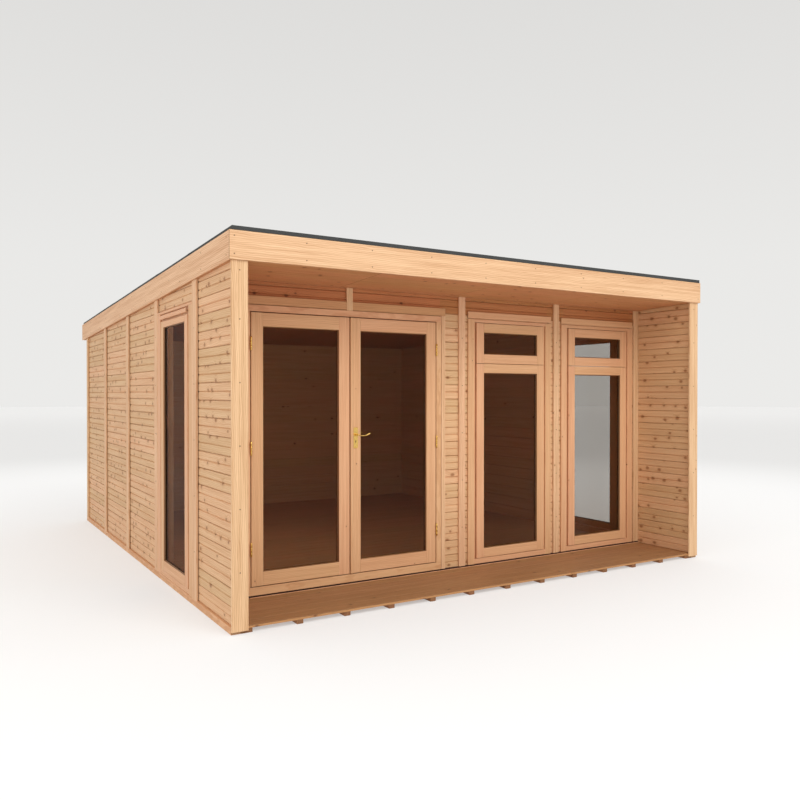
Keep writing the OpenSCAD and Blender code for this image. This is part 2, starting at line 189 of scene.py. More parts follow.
def wood(name, pale, deep, knot, places=6.0, knots=0.3, radius=(0.006, 0.013),
         vary=0.12, roughness=0.58):
    """Softwood: long growth rings that bend around knots, fine fibres, and boards
    that differ a little in tone. places: knots that a metre has room for.
    knots: share of those places that hold one. radius: smallest and largest."""
    n = Nodes(name)
    grain = n.add("ShaderNodeAttribute", out=1, attribute_name="grain")
    tone = n.add("ShaderNodeAttribute", out=2, attribute_name="tone")

    # knots: scattered over the face, a little longer along the grain
    wobble = n.noise(n.scaled(grain, 30, 30, 0), 1.0, 2.0)
    spread = n.add("ShaderNodeVectorMath", operation="SCALE", Scale=0.009,
                   i0=n.add("ShaderNodeVectorMath", operation="SUBTRACT", i0=wobble,
                            i1=(0.5, 0.5, 0.5)))
    bent = n.add("ShaderNodeVectorMath", operation="ADD", i0=grain, i1=spread)
    place_of = n.scaled(bent, places * 0.82, places * 1.15, 0)
    voronoi = n.tree.nodes.new("ShaderNodeTexVoronoi")
    voronoi.voronoi_dimensions = "2D"
    n.feed(voronoi.inputs["Vector"], place_of)
    voronoi.inputs["Scale"].default_value = 1.0
    far, cell = voronoi.outputs["Distance"], voronoi.outputs["Color"]
    parts = n.tree.nodes.new("ShaderNodeSeparateColor")
    n.feed(parts.inputs[0], cell)
    there = n.maths("GREATER_THAN", parts.outputs[1], 1.0 - knots)
    reach = n.span(parts.outputs[0], 0.0, 1.0, radius[0] * places, radius[1] * places,
                   smooth=False)
    near = n.maths("DIVIDE", far, reach)
    core = n.maths("MULTIPLY", n.span(near, 1.0, 0.55), there)
    rim = n.maths("MULTIPLY", n.span(near, 1.6, 0.7), there)
    halo = n.maths("MULTIPLY", n.span(near, 4.0, 0.8), there)

    # growth rings that flow round the knots, with streaks and fibres along them
    lift = n.add("ShaderNodeCombineXYZ", X=0.0, Y=n.maths("MULTIPLY", halo, 0.016), Z=0.0)
    flow = n.add("ShaderNodeVectorMath", operation="ADD", i0=grain, i1=lift)
    rings = n.add("ShaderNodeTexWave", out=1, Vector=n.scaled(flow, 0.28, 1, 1), wave_type="BANDS",
                  bands_direction="Y", wave_profile="SIN", Scale=26.0, Distortion=7.0,
                  Detail=2.0, i4=0.8)
    late = n.span(rings, 0.45, 1.0)
    streak = n.noise(n.scaled(flow, 1.6, 45, 45), 1.0, 4.0, 0.6)
    fibre = n.noise(n.scaled(flow, 14, 620, 620), 1.0, 2.0, 0.6)
    figure = n.maths("ADD", n.maths("MULTIPLY", late, 0.38),
                     n.maths("MULTIPLY", n.span(streak, 0.3, 0.72), 0.45))
    figure = n.maths("ADD", figure, n.maths("MULTIPLY", fibre, 0.25), clamp=True)

    # colour: the figure first, then the tone of the board, then its knots
    base = n.mix(figure, pale, deep)
    patch = n.noise(n.scaled(grain, 1.1, 3.0, 0), 1.0, 2.0)
    shade = n.maths("ADD", n.maths("MULTIPLY", tone, vary),
                    n.maths("MULTIPLY", patch, vary))
    base = n.add("ShaderNodeHueSaturation", Color=base,
                 Hue=n.span(tone, 0.0, 1.0, 0.494, 0.504, smooth=False),
                 Value=n.maths("SUBTRACT", 1.0 + vary, shade))
    base = n.mix(n.maths("MULTIPLY", halo, 0.3), base, deep)
    base = n.mix(n.maths("MULTIPLY", rim, 0.5), base, knot)
    base = n.mix(n.maths("MULTIPLY", core, 0.55), base, knot)

    # sawn ends are darker
    run = n.add("ShaderNodeAttribute", out=1, attribute_name="run")
    facing = n.add("ShaderNodeVectorTransform", vector_type="NORMAL", convert_from="WORLD",
                   convert_to="OBJECT", Vector=n.add("ShaderNodeNewGeometry", out=3))
    square = n.add("ShaderNodeVectorMath", out=1, operation="DOT_PRODUCT", i0=run, i1=facing)
    end = n.span(n.maths("ABSOLUTE", square), 0.75, 0.95)
    base = n.mix(n.maths("MULTIPLY", end, 0.42), base, (0.10, 0.045, 0.018, 1))

    height = n.maths("ADD", n.maths("MULTIPLY", late, 0.35), n.maths("MULTIPLY", fibre, 0.45))
    height = n.maths("SUBTRACT", height, n.maths("MULTIPLY", core, 0.5))
    bump = n.add("ShaderNodeBump", Strength=0.35, Distance=0.0008, Height=height)
    return n.done(Base_Color=base, Normal=bump,
                  Roughness=n.span(figure, 0.0, 1.0, roughness - 0.07, roughness + 0.1,
                                   smooth=False),
                  **{"Specular IOR Level": 0.3})


BODY = "building"
KNOT = colour(96, 52, 26)
oiled_pine = wood("oiled_pine", colour(240, 200, 158), colour(196, 146, 103), KNOT,
                  knots=0.12, radius=(0.003, 0.006), vary=0.05)
rail_pine = wood("rail_pine", colour(226, 180, 134), colour(198, 146, 100), KNOT,
                 knots=0.2, radius=(0.004, 0.009))
rough_sawn = wood("rough_sawn", colour(176, 124, 84), colour(132, 88, 56), KNOT,
                  roughness=0.78)

bearer_lo, bearer_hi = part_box("bearers")
BEARERS, BEARER_W = 13, 0.044
SAWN_EDGE = 0.0008      # edges left nearly sharp by the saw
PLANED_EDGE = 0.002     # edges rounded over on planed boards
timber = Timber(11)
for i in range(BEARERS):
    x = bearer_lo.x + i * (bearer_hi.x - bearer_lo.x - BEARER_W) / (BEARERS - 1)
    timber.board((x, bearer_lo.y, bearer_lo.z), (x + BEARER_W, bearer_hi.y, bearer_hi.z),
                 along=1, edge=SAWN_EDGE)
timber.piece("bearers", rough_sawn, BODY, "bearers", "bearers")

lo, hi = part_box("side_base_rails")
back_lo, back_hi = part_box("rear_base_rail")
floor_top = hi.z
RAIL_W = 0.060
timber = Timber(12)
timber.board(lo, (lo.x + RAIL_W, hi.y, hi.z), along=1)
timber.board((hi.x - RAIL_W, lo.y, lo.z), hi, along=1)
timber.piece("side_base_rails", rail_pine, BODY, "base_timber", "side_base_rails")

# short packers under the posts, between the outer bearers and the rails
PACKER_L, PACKER_PLAY = 0.3, 0.001
timber = Timber(14)
for s in (-1, 1):
    a, b = sorted((s * (bearer_hi.x + PACKER_PLAY), s * (hi.x - RAIL_W - PACKER_PLAY)))
    timber.board((a, bearer_lo.y, bearer_lo.z), (b, bearer_lo.y + PACKER_L, bearer_hi.z),
                 along=1, edge=SAWN_EDGE)
timber.piece("packers", rough_sawn, BODY, "bearers")

timber = Timber(13)
timber.board(back_lo, back_hi, along=0)
timber.piece("rear_base_rail", rail_pine, BODY, "base_timber", "rear_base_rail")


# ---- Deck and floor ----
# Planed boards screwed to the bearers. The deck runs across the veranda, darkened
# by deck oil, with a paler strip along its front edge; inside, the floor boards run
# the same way. A dark strip of painted shadow lies over the sill under the front wall.

deck_oil = wood("deck_oil", colour(168, 123, 82), colour(142, 99, 63), colour(84, 54, 32),
                knots=0.15, vary=0.06, roughness=0.5)
deck_edge = wood("deck_edge", colour(204, 148, 100), colour(170, 118, 74), KNOT)
floor_oil = wood("floor_oil", colour(214, 160, 112), colour(180, 124, 80), colour(90, 54, 30),
                 vary=0.12, roughness=0.42)


def boarding(seed, node, count, gap, along=0):
    """Boards side by side that fill the node's box."""
    lo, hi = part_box(node)
    across = 1 - along
    pitch = (hi[across] - lo[across] + gap) / count
    made = Timber(seed)
    for k in range(count):
        a, b = lo.copy(), hi.copy()
        a[across] = lo[across] + k * pitch
        b[across] = a[across] + pitch - gap
        made.board(a, b, along, edge=PLANED_EDGE)
    return made


deck_lo, deck_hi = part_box("veranda_deck")
NOSING, NOSING_PLAY, NOSING_DOWN = 0.003, 0.0002, 0.005
DECK_BOARDS, DECK_GAP = 5, 0.0015
FLOOR_BOARDS, FLOOR_GAP = 36, 0.001
made = boarding(21, "veranda_deck", DECK_BOARDS, DECK_GAP)
for v in made.bm.verts:
    v.co.y = max(v.co.y, deck_lo.y + NOSING)
made.piece("veranda_deck", deck_oil, BODY, "deck_boards", "veranda_deck")
made = Timber(24)
made.board(deck_lo, (deck_hi.x, deck_lo.y + NOSING - NOSING_PLAY, deck_hi.z - NOSING_DOWN),
           along=0, edge=SAWN_EDGE)
made.piece("deck_nosing", deck_edge, BODY, "deck_boards")
made = boarding(22, "floor", FLOOR_BOARDS, FLOOR_GAP)
made.piece("floor", floor_oil, BODY, "deck_boards", "floor")

lo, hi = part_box("front_sill")
SHADOW_H, SHADOW_IN = 0.009, 0.022
SHADOW_LIP_IN, SHADOW_LIP_T = 0.006, 0.0015
timber = Timber(23)
timber.board(lo, (hi.x, hi.y, hi.z - SHADOW_H), along=0, edge=PLANED_EDGE)
timber.piece("front_sill", rail_pine, BODY, "base_timber", "front_sill")

# a dark strip under the frames, turned out over the sill in front of them: painted shadow of the
# recess there
sill_shadow_strip = Nodes("painted_sill_shadow")
where = sill_shadow_strip.add("ShaderNodeTexCoord", out=3)
strip_mottle = sill_shadow_strip.noise(where, 300.0, 3.0)
sill_shadow_strip.done(Base_Color=sill_shadow_strip.mix(strip_mottle, colour(52, 22, 14), colour(78, 36, 24)),
                Roughness=sill_shadow_strip.span(strip_mottle, 0.3, 0.7, 0.75, 0.95),
                Normal=sill_shadow_strip.add("ShaderNodeBump", Strength=0.3, Distance=0.0004, Height=strip_mottle))
timber = Timber(25)
timber.board((lo.x, lo.y + SHADOW_IN, hi.z - SHADOW_H), hi, along=0, edge=0.001)
timber.board((lo.x, lo.y + SHADOW_LIP_IN, hi.z - SHADOW_H),
             (hi.x, lo.y + SHADOW_IN, hi.z - SHADOW_H + SHADOW_LIP_T), along=0, edge=0.0004)
timber.piece("painted_sill_shadow", sill_shadow_strip.mat, BODY, "felt")


# ---- Cladding and walls ----
# Horizontal boards with a groove down the middle, so that each reads as two narrow
# ones. They are nailed to the frame of each wall panel and stop short of the batten
# behind them. The inside is lined with flat boards.

cladding_pine = wood("cladding_pine", colour(230, 190, 146), colour(202, 154, 110),
                     colour(146, 90, 52), places=9.0, knots=0.5, radius=(0.009, 0.017), vary=0.12)
lining_pine = wood("lining_pine", colour(226, 176, 124), colour(198, 144, 96), KNOT,
                   places=7.0, knots=0.12, vary=0.1)
ceiling_pine = wood("ceiling_pine", colour(211, 151, 103), colour(180, 120, 76), KNOT, vary=0.08)
# shaded_pine: the cladding pine painted darker and redder, as painted shade of the canopy on the
# top courses of the front wall
shaded_pine = wood("shaded_pine", colour(198, 132, 82), colour(164, 102, 59), KNOT, vary=0.08)

COURSE = 0.116          # one board and the gap above it
BOARD_T = 0.012
GAP = 0.0035
LEAST_CUT = 0.02        # a narrower rest of a board is left out
ease, notch, depth = 0.0045, 0.0054, 0.0074
lining_ease = 0.0015
top = COURSE - GAP
mid = top / 2
CLAD = [(0, 0), (top, 0), (top, BOARD_T - ease), (top - ease, BOARD_T), (mid + notch, BOARD_T),
        (mid, BOARD_T - depth), (mid - notch, BOARD_T), (ease, BOARD_T), (0, BOARD_T - ease)]
FLAT = [(0, 0), (top, 0), (top, BOARD_T - lining_ease), (top - lining_ease, BOARD_T),
        (lining_ease, BOARD_T), (0, BOARD_T - lining_ease)]
X, Y, UP = Vector((1, 0, 0)), Vector((0, 1, 0)), Vector((0, 0, 1))
TALL = 2.5              # boards are made this high, then sawn off under the ceiling

roof_lo, roof_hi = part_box("ceiling")
CEILING_T = 0.014
SAW_CLEAR = 0.001
fall = (roof_hi.z - roof_lo.z - CEILING_T) / (roof_hi.y - roof_lo.y)
soffit_front = roof_hi.z - CEILING_T


def courses(made, start, along, length, out, z0, z1, section=CLAD):
    """Boards laid one above the other from z0 until they pass z1."""
    z = floor_top
    while z < z1:
        low = max(z, z0)
        if z + COURSE - GAP - low > LEAST_CUT:
            cut = [(max(u, low - z), v) for u, v in section]
            begin = Vector((start[0], start[1], z))
            made.moulding(section if low == z else cut, begin, UP, out, along, length)
        z += COURSE


def saw(made):
    """Saws the boards off along the slope, just under the ceiling."""
    made.cut_above(Vector((0, roof_lo.y, soffit_front - SAW_CLEAR)), Vector((0, fall, 1)))


left_lo, left_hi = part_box("left_wall")
wing_lo, wing_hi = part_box("left_wing_wall")
front_lo, front_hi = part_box("front_wall_right")
rear_lo, rear_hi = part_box("rear_wall")
side_face, side_inner = -left_lo.x, -left_hi.x
wing_inner = -wing_hi.x
front_face, front_inner = front_lo.y, front_hi.y
rear_face, rear_inner = rear_hi.y, rear_lo.y
joint_y = left_lo.y
batten_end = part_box("left_battens")[1].y
SIDE_BATTEN = 0.096
SIDE_BAYS = 4
LAST_BATTEN_IN = 0.037  # the last bay ends this far before the end of the battens
side_bay = (batten_end - LAST_BATTEN_IN - joint_y) / SIDE_BAYS
side_y = [joint_y + i * side_bay for i in range(SIDE_BAYS + 1)]
win_lo, win_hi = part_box("side_window_frames")
HOLE_IN, HEAD_IN = 0.06, 0.03   # the frames lap over the edges of their hole
hole_lo, hole_hi = win_lo.y + HOLE_IN, win_hi.y - HOLE_IN

BEHIND = 0.007          # boards stop this short of the edge of a batten
for s, name in ((-1, "left"), (1, "right")):
    out = X * s
    # wing wall, boarded on both faces over a frame
    made = Timber(30 + s)
    start = s * (side_face - BOARD_T)
    inner = s * (wing_inner + BOARD_T)
    courses(made, (start, wing_lo.y), Y, joint_y - SIDE_BATTEN / 2 - BEHIND - wing_lo.y, out,
            floor_top, TALL)
    courses(made, (inner, wing_lo.y), Y, front_face - wing_lo.y, -out, floor_top, TALL)
    courses(made, (inner, front_inner), Y, joint_y - front_inner, -out, floor_top, TALL, FLAT)
    a, b = sorted((inner, start))
    made.board((a, wing_lo.y, floor_top), (b, joint_y, TALL), along=2)
    saw(made)
    made.piece(name + "_wing_wall", cladding_pine, BODY, "cladding", name + "_wing_wall")

    # side wall: first bay holds the window, so only its head is boarded
    made = Timber(40 + s)
    for i in range(SIDE_BAYS):
        y0, y1 = side_y[i], side_y[i + 1]
        if i < SIDE_BAYS - 1:
            y1 -= SIDE_BATTEN / 2 + BEHIND
        z0 = win_hi.z if i == 0 else floor_top
        courses(made, (start, y0), Y, y1 - y0, out, z0, TALL)
    saw(made)
    made.piece(name + "_cladding", cladding_pine, BODY, "cladding")
    core = Timber(50 + s)
    inner = s * (side_inner + BOARD_T)
    a, b = sorted((inner, start))
    core.board((a, joint_y, floor_top), (b, hole_lo, TALL), along=2)
    core.board((a, hole_hi, floor_top), (b, rear_face, TALL), along=2)
    core.board((a, hole_lo, win_hi.z - HEAD_IN), (b, hole_hi, TALL), along=1)
    courses(core, (inner, joint_y), Y, hole_lo - joint_y, -out, floor_top, TALL, FLAT)
    courses(core, (inner, hole_hi), Y, rear_inner - hole_hi, -out, floor_top, TALL, FLAT)
    courses(core, (inner, hole_lo), Y, hole_hi - hole_lo, -out, win_hi.z - HEAD_IN, TALL, FLAT)
    saw(core)
    core.piece(name + "_wall", lining_pine, BODY, "cladding", name + "_wall")

# rear wall, four panels wide
PANEL_W = 1.036
made = Timber(60)
for i in range(-2, 2):
    x0, x1 = max(i * PANEL_W, -side_inner), min((i + 1) * PANEL_W, side_inner)
    courses(made, (x0, rear_face - BOARD_T), X, x1 - x0, Y, floor_top, TALL)
saw(made)
made.piece("rear_cladding", cladding_pine, BODY, "cladding")
core = Timber(61)
core.board((-side_inner, rear_inner + BOARD_T, floor_top),
           (side_inner, rear_face - BOARD_T, TALL), along=0)
courses(core, (-side_inner, rear_inner + BOARD_T), X, 2 * side_inner, -Y, floor_top, TALL, FLAT)
saw(core)
core.piece("rear_wall", lining_pine, BODY, "cladding", "rear_wall")

# front wall: boards left of the doors, over them, between doors and windows, and
# over the windows; the top courses, in the shade of the canopy, are a piece of their own
door_lo, door_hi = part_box("door_frame")
over_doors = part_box("front_wall_over_doors")[0].z
left_part_lo, left_part_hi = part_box("front_wall_left")
fwin_lo, fwin_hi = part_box("front_window_frames")
sash_lo, sash_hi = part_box("front_window_sashes")
SASH_W = 0.738
FRAME_OUT, TRIM_OUT = 0.051, 0.087      # how far frame and trims reach past the sash
win_x = [sash_lo.x + SASH_W / 2, sash_hi.x - SASH_W / 2]
HALF_HOLE = SASH_W / 2 + FRAME_OUT
HALF_TRIM = SASH_W / 2 + TRIM_OUT
door_mid = (door_lo.x + door_hi.x) / 2
made, core, top_courses = Timber(70), Timber(71), Timber(72)
LOWER_COURSES = 18
TOP_Z = floor_top + LOWER_COURSES * COURSE
over_windows = fwin_hi.z - HEAD_IN
face = front_face + BOARD_T
spans = [(left_part_lo.x, left_part_hi.x, front_lo.z, False),
         (door_lo.x, door_hi.x, over_doors, True),
         (door_hi.x, win_x[0] - HALF_HOLE, front_lo.z, False),
         (win_x[0] - HALF_HOLE, win_x[0] + HALF_HOLE, over_windows, True),
         (win_x[0] + HALF_HOLE, win_x[1] - HALF_HOLE, front_lo.z, False),
         (win_x[1] - HALF_HOLE, win_x[1] + HALF_HOLE, over_windows, True),
         (win_x[1] + HALF_HOLE, front_hi.x, front_lo.z, False)]
for x0, x1, z0, head in spans:
    if not head:
        courses(made, (x0, face), X, x1 - x0, -Y, z0, TOP_Z)
    courses(top_courses, (x0, face), X, x1 - x0, -Y, max(z0, TOP_Z), TALL)
    courses(core, (x0, front_inner - BOARD_T), X, x1 - x0, Y, z0, TALL, FLAT)
    core.board((x0, face, z0), (x1, front_inner - BOARD_T, TALL), along=0 if head else 2)
saw(top_courses)
saw(core)
made.piece("front_cladding", cladding_pine, BODY, "cladding")
top_courses.piece("front_top_boards", shaded_pine, BODY, "cladding")
core.piece("front_wall", lining_pine, BODY, "cladding",
           "front_wall_left", "front_wall_over_doors", "front_wall_right")


# ---- Battens and corner posts ----
# Planed boards screwed upright over the joints of the wall panels, and wider ones
# that face the front ends of the wing walls.

FRONT_BATTEN, END_BATTEN, MID_BATTEN = 0.062, 0.064, 0.052
BATTEN_T = 0.016
for s, name in ((-1, "left"), (1, "right")):
    made = Timber(80 + s)
    a, b = sorted((s * side_face, s * (side_face + BATTEN_T)))
    for y in side_y:
        end = batten_end if y == side_y[-1] else y + SIDE_BATTEN / 2
        made.board((a, y - SIDE_BATTEN / 2, floor_top), (b, end, TALL), along=2, edge=PLANED_EDGE)
    saw(made)
    made.piece(name + "_battens", oiled_pine, BODY, "battens", name + "_battens")

rb_lo, rb_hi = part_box("rear_battens")
made = Timber(83)
rear_x = [-PANEL_W, 0.0, PANEL_W, rb_lo.x + SIDE_BATTEN / 2, rb_hi.x - SIDE_BATTEN / 2]
for x in rear_x:
    made.board((x - SIDE_BATTEN / 2, rb_lo.y, floor_top), (x + SIDE_BATTEN / 2, rb_hi.y, TALL),
               along=2, edge=PLANED_EDGE)
saw(made)
made.piece("rear_battens", oiled_pine, BODY, "battens", "rear_battens")

fb_lo, fb_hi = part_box("front_battens")
made = Timber(84)
front_spans = [(x - FRONT_BATTEN / 2, x + FRONT_BATTEN / 2, fb_lo.z) for x in (0.0, PANEL_W)]
front_spans += [(fb_lo.x, fb_lo.x + END_BATTEN, fb_lo.z), (fb_hi.x - END_BATTEN, fb_hi.x, fb_lo.z),
                (door_mid - MID_BATTEN / 2, door_mid + MID_BATTEN / 2, door_hi.z)]
for x0, x1, z0 in front_spans:
    made.board((x0, fb_lo.y, z0), (x1, fb_hi.y, TALL), along=2)
saw(made)
made.piece("front_battens", oiled_pine, BODY, "battens", "front_battens")

post_lo, post_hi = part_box("corner_posts")
POST_W = 0.108
made = Timber(85)
made.board(post_lo, (post_lo.x + POST_W, post_hi.y, post_hi.z), along=2, edge=PLANED_EDGE)
made.board((post_hi.x - POST_W, post_lo.y, post_lo.z), post_hi, along=2, edge=PLANED_EDGE)
made.piece("corner_posts", oiled_pine, BODY, "battens", "corner_posts")


# ---- Door frame and trims ----
# Two posts, a head and a threshold, rebated so that the leaves close against a stop.
# Narrow trims cover the joint between the frame and the boards.

joinery_pine = wood("joinery_pine", colour(230, 182, 138), colour(206, 151, 108), KNOT,
                    places=5.0, knots=0.1, radius=(0.003, 0.006), vary=0.05, roughness=0.5)

leaf_lo, leaf_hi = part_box("left_door")[0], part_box("right_door")[1]
JAMB = 0.046
LEAF_GAP = 0.007
STOP, STOP_PLAY = 0.014, 0.005
LEAF_T = 0.044
d0, d1 = door_lo.x + JAMB, door_hi.x - JAMB
threshold = leaf_lo.z - LEAF_GAP
head = leaf_hi.z + LEAF_GAP
stop_y = leaf_hi.y + STOP_PLAY
s0, s1 = d0 + LEAF_GAP + STOP, d1 - LEAF_GAP - STOP
made = Timber(90)
made.board((door_lo.x, door_lo.y, threshold), (d0, front_inner, head), along=2)
made.board((d1, door_lo.y, threshold), (door_hi.x, front_inner, head), along=2)
made.board((door_lo.x, door_lo.y, head), (door_hi.x, front_inner, door_hi.z), along=0)
made.board((door_lo.x, door_lo.y, door_lo.z), (door_hi.x, front_inner, threshold), along=0)
made.board((d0, stop_y, threshold), (s0, front_inner, head), along=2)
made.board((s1, stop_y, threshold), (d1, front_inner, head), along=2)
made.board((s0, stop_y, threshold), (s1, front_inner, threshold + LEAF_GAP + STOP), along=0)
made.board((s0, stop_y, head - LEAF_GAP - STOP), (s1, front_inner, head), along=0)
made.piece("door_frame", joinery_pine, BODY, "joinery", "door_frame")

trim_lo, trim_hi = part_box("door_trim")
TRIM_W, TRIM_UP = 0.038, 0.004
made = Timber(91)
trim_top = door_hi.z + TRIM_UP
made.board(trim_lo, (trim_lo.x + TRIM_W, trim_hi.y, trim_top), along=2)
made.board((trim_hi.x - TRIM_W, trim_lo.y, trim_lo.z), (trim_hi.x, trim_hi.y, trim_top), along=2)
made.piece("door_trim", oiled_pine, BODY, "battens", "door_trim")
made = Timber(92)
made.board((trim_lo.x, trim_lo.y, trim_top),
           (door_mid - MID_BATTEN / 2, trim_hi.y, trim_hi.z), along=0)
made.board((door_mid + MID_BATTEN / 2, trim_lo.y, trim_top), trim_hi, along=0)
# the head trims are a darker, redder copy of the trim pine: painted shade from the canopy
shaded_head_pine = wood("shaded_head_pine", colour(216, 164, 118), colour(188, 134, 90), KNOT,
                 knots=0.1, vary=0.06)
made.piece("door_head_trim", shaded_head_pine, BODY, "battens")


# ---- Door leaves ----
# Planed stiles and rails, tenoned together, with one tall sealed unit in each leaf
# held by a slim bead. A strip on the right leaf covers the meeting edge.

def pane_material(name, ior):
    n = Nodes(name)
    where = n.add("ShaderNodeTexCoord", out=3)
    film = n.noise(where, 2.2, 3.0, 0.55)
    bump = n.add("ShaderNodeBump", Strength=0.05, Distance=0.001, Height=n.noise(where, 1.3, 1.0))
    tint = n.mix(film, (0.60, 0.585, 0.565, 1), (0.64, 0.625, 0.605, 1))
    return n.done(Base_Color=tint, Roughness=n.span(film, 0.3, 0.8, 0.0, 0.015), Normal=bump,
                  **{"Transmission Weight": 1.0, "IOR": ior})


tinted_pane = pane_material("tinted_pane", 1.13)
BEAD_W, BEAD_IN, BEAD_BACK = 0.006, 0.004, 0.002
GLASS_IN, GLASS_T, GLASS_PLAY = 0.014, 0.020, 0.0005
REBATE_H, REBATE_IN = 0.030, 0.014
# the beads are dark: partly a darker glazing bead, partly painted shade in the reveal around the
# glass
shaded_bead_pine = wood("shaded_bead_pine", colour(150, 104, 66), colour(118, 76, 44), KNOT,
                 knots=0.05, radius=(0.002, 0.004), vary=0.04, roughness=0.5)


def light(made, beads, lo, hi, stile, rail, depth, rebate=False):
    """Stiles, rails and beads around one pane, facing the front. A rebate under the
    weather bar sheds the rain."""
    ax, az, bx, bz = lo.x, lo.z, hi.x, hi.z
    y0 = lo.y
    cut = REBATE_H if rebate else 0.0
    made.board((ax, y0, az), (ax + stile, y0 + depth, bz - cut), along=2)
    made.board((bx - stile, y0, az), (bx, y0 + depth, bz - cut), along=2)
    made.board((ax + stile, y0, az), (bx - stile, y0 + depth, az + rail), along=0)
    made.board((ax + stile, y0, bz - rail), (bx - stile, y0 + depth, bz - cut), along=0)
    if rebate:
        made.board((ax, y0 + REBATE_IN, bz - cut), (bx, y0 + depth, bz), along=0)
    x0, x1, z0, z1 = ax + stile, bx - stile, az + rail, bz - rail
    outside, inside = GLASS_IN - GLASS_PLAY, GLASS_IN + GLASS_T + GLASS_PLAY
    bead = [(0, BEAD_IN), (BEAD_W, outside), (0, outside)]
    inner = [(0, inside), (BEAD_W, inside), (0, depth - BEAD_BACK)]
    for section in (bead, inner):
        beads.moulding(section, Vector((x0, y0, z0)), X, Y, UP, z1 - z0)
        beads.moulding(section, Vector((x1, y0, z0)), -X, Y, UP, z1 - z0)
        beads.moulding(section, Vector((x0, y0, z0)), UP, Y, X, x1 - x0)
        beads.moulding(section, Vector((x0, y0, z1)), -UP, Y, X, x1 - x0)


def glaze(name, boxes, body, glass, *nodes):
    """Sealed units: two sheets of glass with their edges polished."""
    bm = bmesh.new()
    for lo, hi in boxes:
        made = bmesh.ops.create_cube(bm, size=1.0)["verts"]
        for v in made:
            v.co = Vector([lo[k] + (v.co[k] + 0.5) * (hi[k] - lo[k]) for k in range(3)])
    bmesh.ops.bevel(bm, geom=bm.edges[:], offset=0.0006, segments=1, affect="EDGES")
    mesh = bpy.data.meshes.new(name)
    bm.to_mesh(mesh)
    bm.free()
    return place(name, mesh, glass, body, "glazing", *nodes)


STILE, RAIL = 0.088, 0.096
for seed, name, body in ((101, "left_door", "left_leaf"), (102, "right_door", "right_leaf")):
    lo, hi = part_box(name)
    made, beads = Timber(seed), Timber(seed + 3)
    light(made, beads, lo, hi, STILE, RAIL, LEAF_T)
    made.piece(name, joinery_pine, body, "joinery", name)
    beads.piece(name + "_beads", shaded_bead_pine, body, "joinery")
    glaze(name + "_glass", [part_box(name + "_glass")], body, tinted_pane, name + "_glass")
lo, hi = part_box("meeting_strip")
made = Timber(105)
w = hi.x - lo.x
strip, bevel = 0.008, 0.003
made.moulding([(0, 0), (w, 0), (w, strip - bevel), (w - bevel, strip), (bevel, strip),
               (0, strip - bevel)], Vector((lo.x, hi.y, lo.z)), X, -Y, UP, hi.z - lo.z)
made.piece("meeting_strip", joinery_pine, "right_leaf", "joinery", "meeting_strip")


# ---- Hinges ----
# Cast brass butt hinges, three to a leaf, with a fixed pin through three knuckles.

def brass_material():
    n = Nodes("polished_brass")
    where = n.add("ShaderNodeTexCoord", out=3)
    smear = n.noise(where, 60.0, 4.0, 0.6)
    scratch = n.noise(n.scaled(where, 900, 900, 60), 1.0, 2.0)
    tint = n.mix(smear, colour(240, 204, 122), colour(214, 170, 86))
    bump = n.add("ShaderNodeBump", Strength=0.12, Distance=0.0003, Height=scratch)
    return n.done(Base_Color=tint, Metallic=1.0, Normal=bump,
                  Roughness=n.span(smear, 0.2, 0.8, 0.2, 0.36))


brass = brass_material()


class Metal:
    """Turned and cast metal parts of one piece."""

    def __init__(self):
        self.bm = bmesh.new()

    def skin(self, rings, close=True):
        """Joins rings of points, and closes the two ends."""
        made = [[self.bm.verts.new(p) for p in ring] for ring in rings]
        n = len(made[0])
        faces = [self.bm.faces.new((a[i], a[(i + 1) % n], b[(i + 1) % n], b[i]))
                 for a, b in zip(made, made[1:]) for i in range(n)]
        if close:
            faces += [self.bm.faces.new(made[0][::-1]), self.bm.faces.new(made[-1])]
        for f in faces:
            f.smooth = len(f.verts) == 4
        bmesh.ops.recalc_face_normals(self.bm, faces=faces)

    def turned(self, profile, centre, axis, sides=24):
        """A turned part: (radius, distance along the axis) pairs."""
        axis = Vector(axis).normalized()
        u = axis.orthogonal().normalized()
        v = axis.cross(u)
        self.skin([[Vector(centre) + axis * h + (u * math.cos(t) + v * math.sin(t)) * r
                    for t in (2 * math.pi * k / sides for k in range(sides))] for r, h in profile])

    def plate(self, lo, hi, edge=0.0004):
        made = Timber(1)
        made.board(lo, hi, along=2, edge=edge)
        mesh = bpy.data.meshes.new("part")
        made.bm.to_mesh(mesh)
        made.bm.free()
        self.bm.from_mesh(mesh)
        bpy.data.meshes.remove(mesh)

    def piece(self, name, body, slot, *nodes, material=None):
        bmesh.ops.triangulate(self.bm, faces=[f for f in self.bm.faces if len(f.verts) > 4])
        mesh = bpy.data.meshes.new(name)
        self.bm.to_mesh(mesh)
        self.bm.free()
        return place(name, mesh, material or brass, body, slot, *nodes)


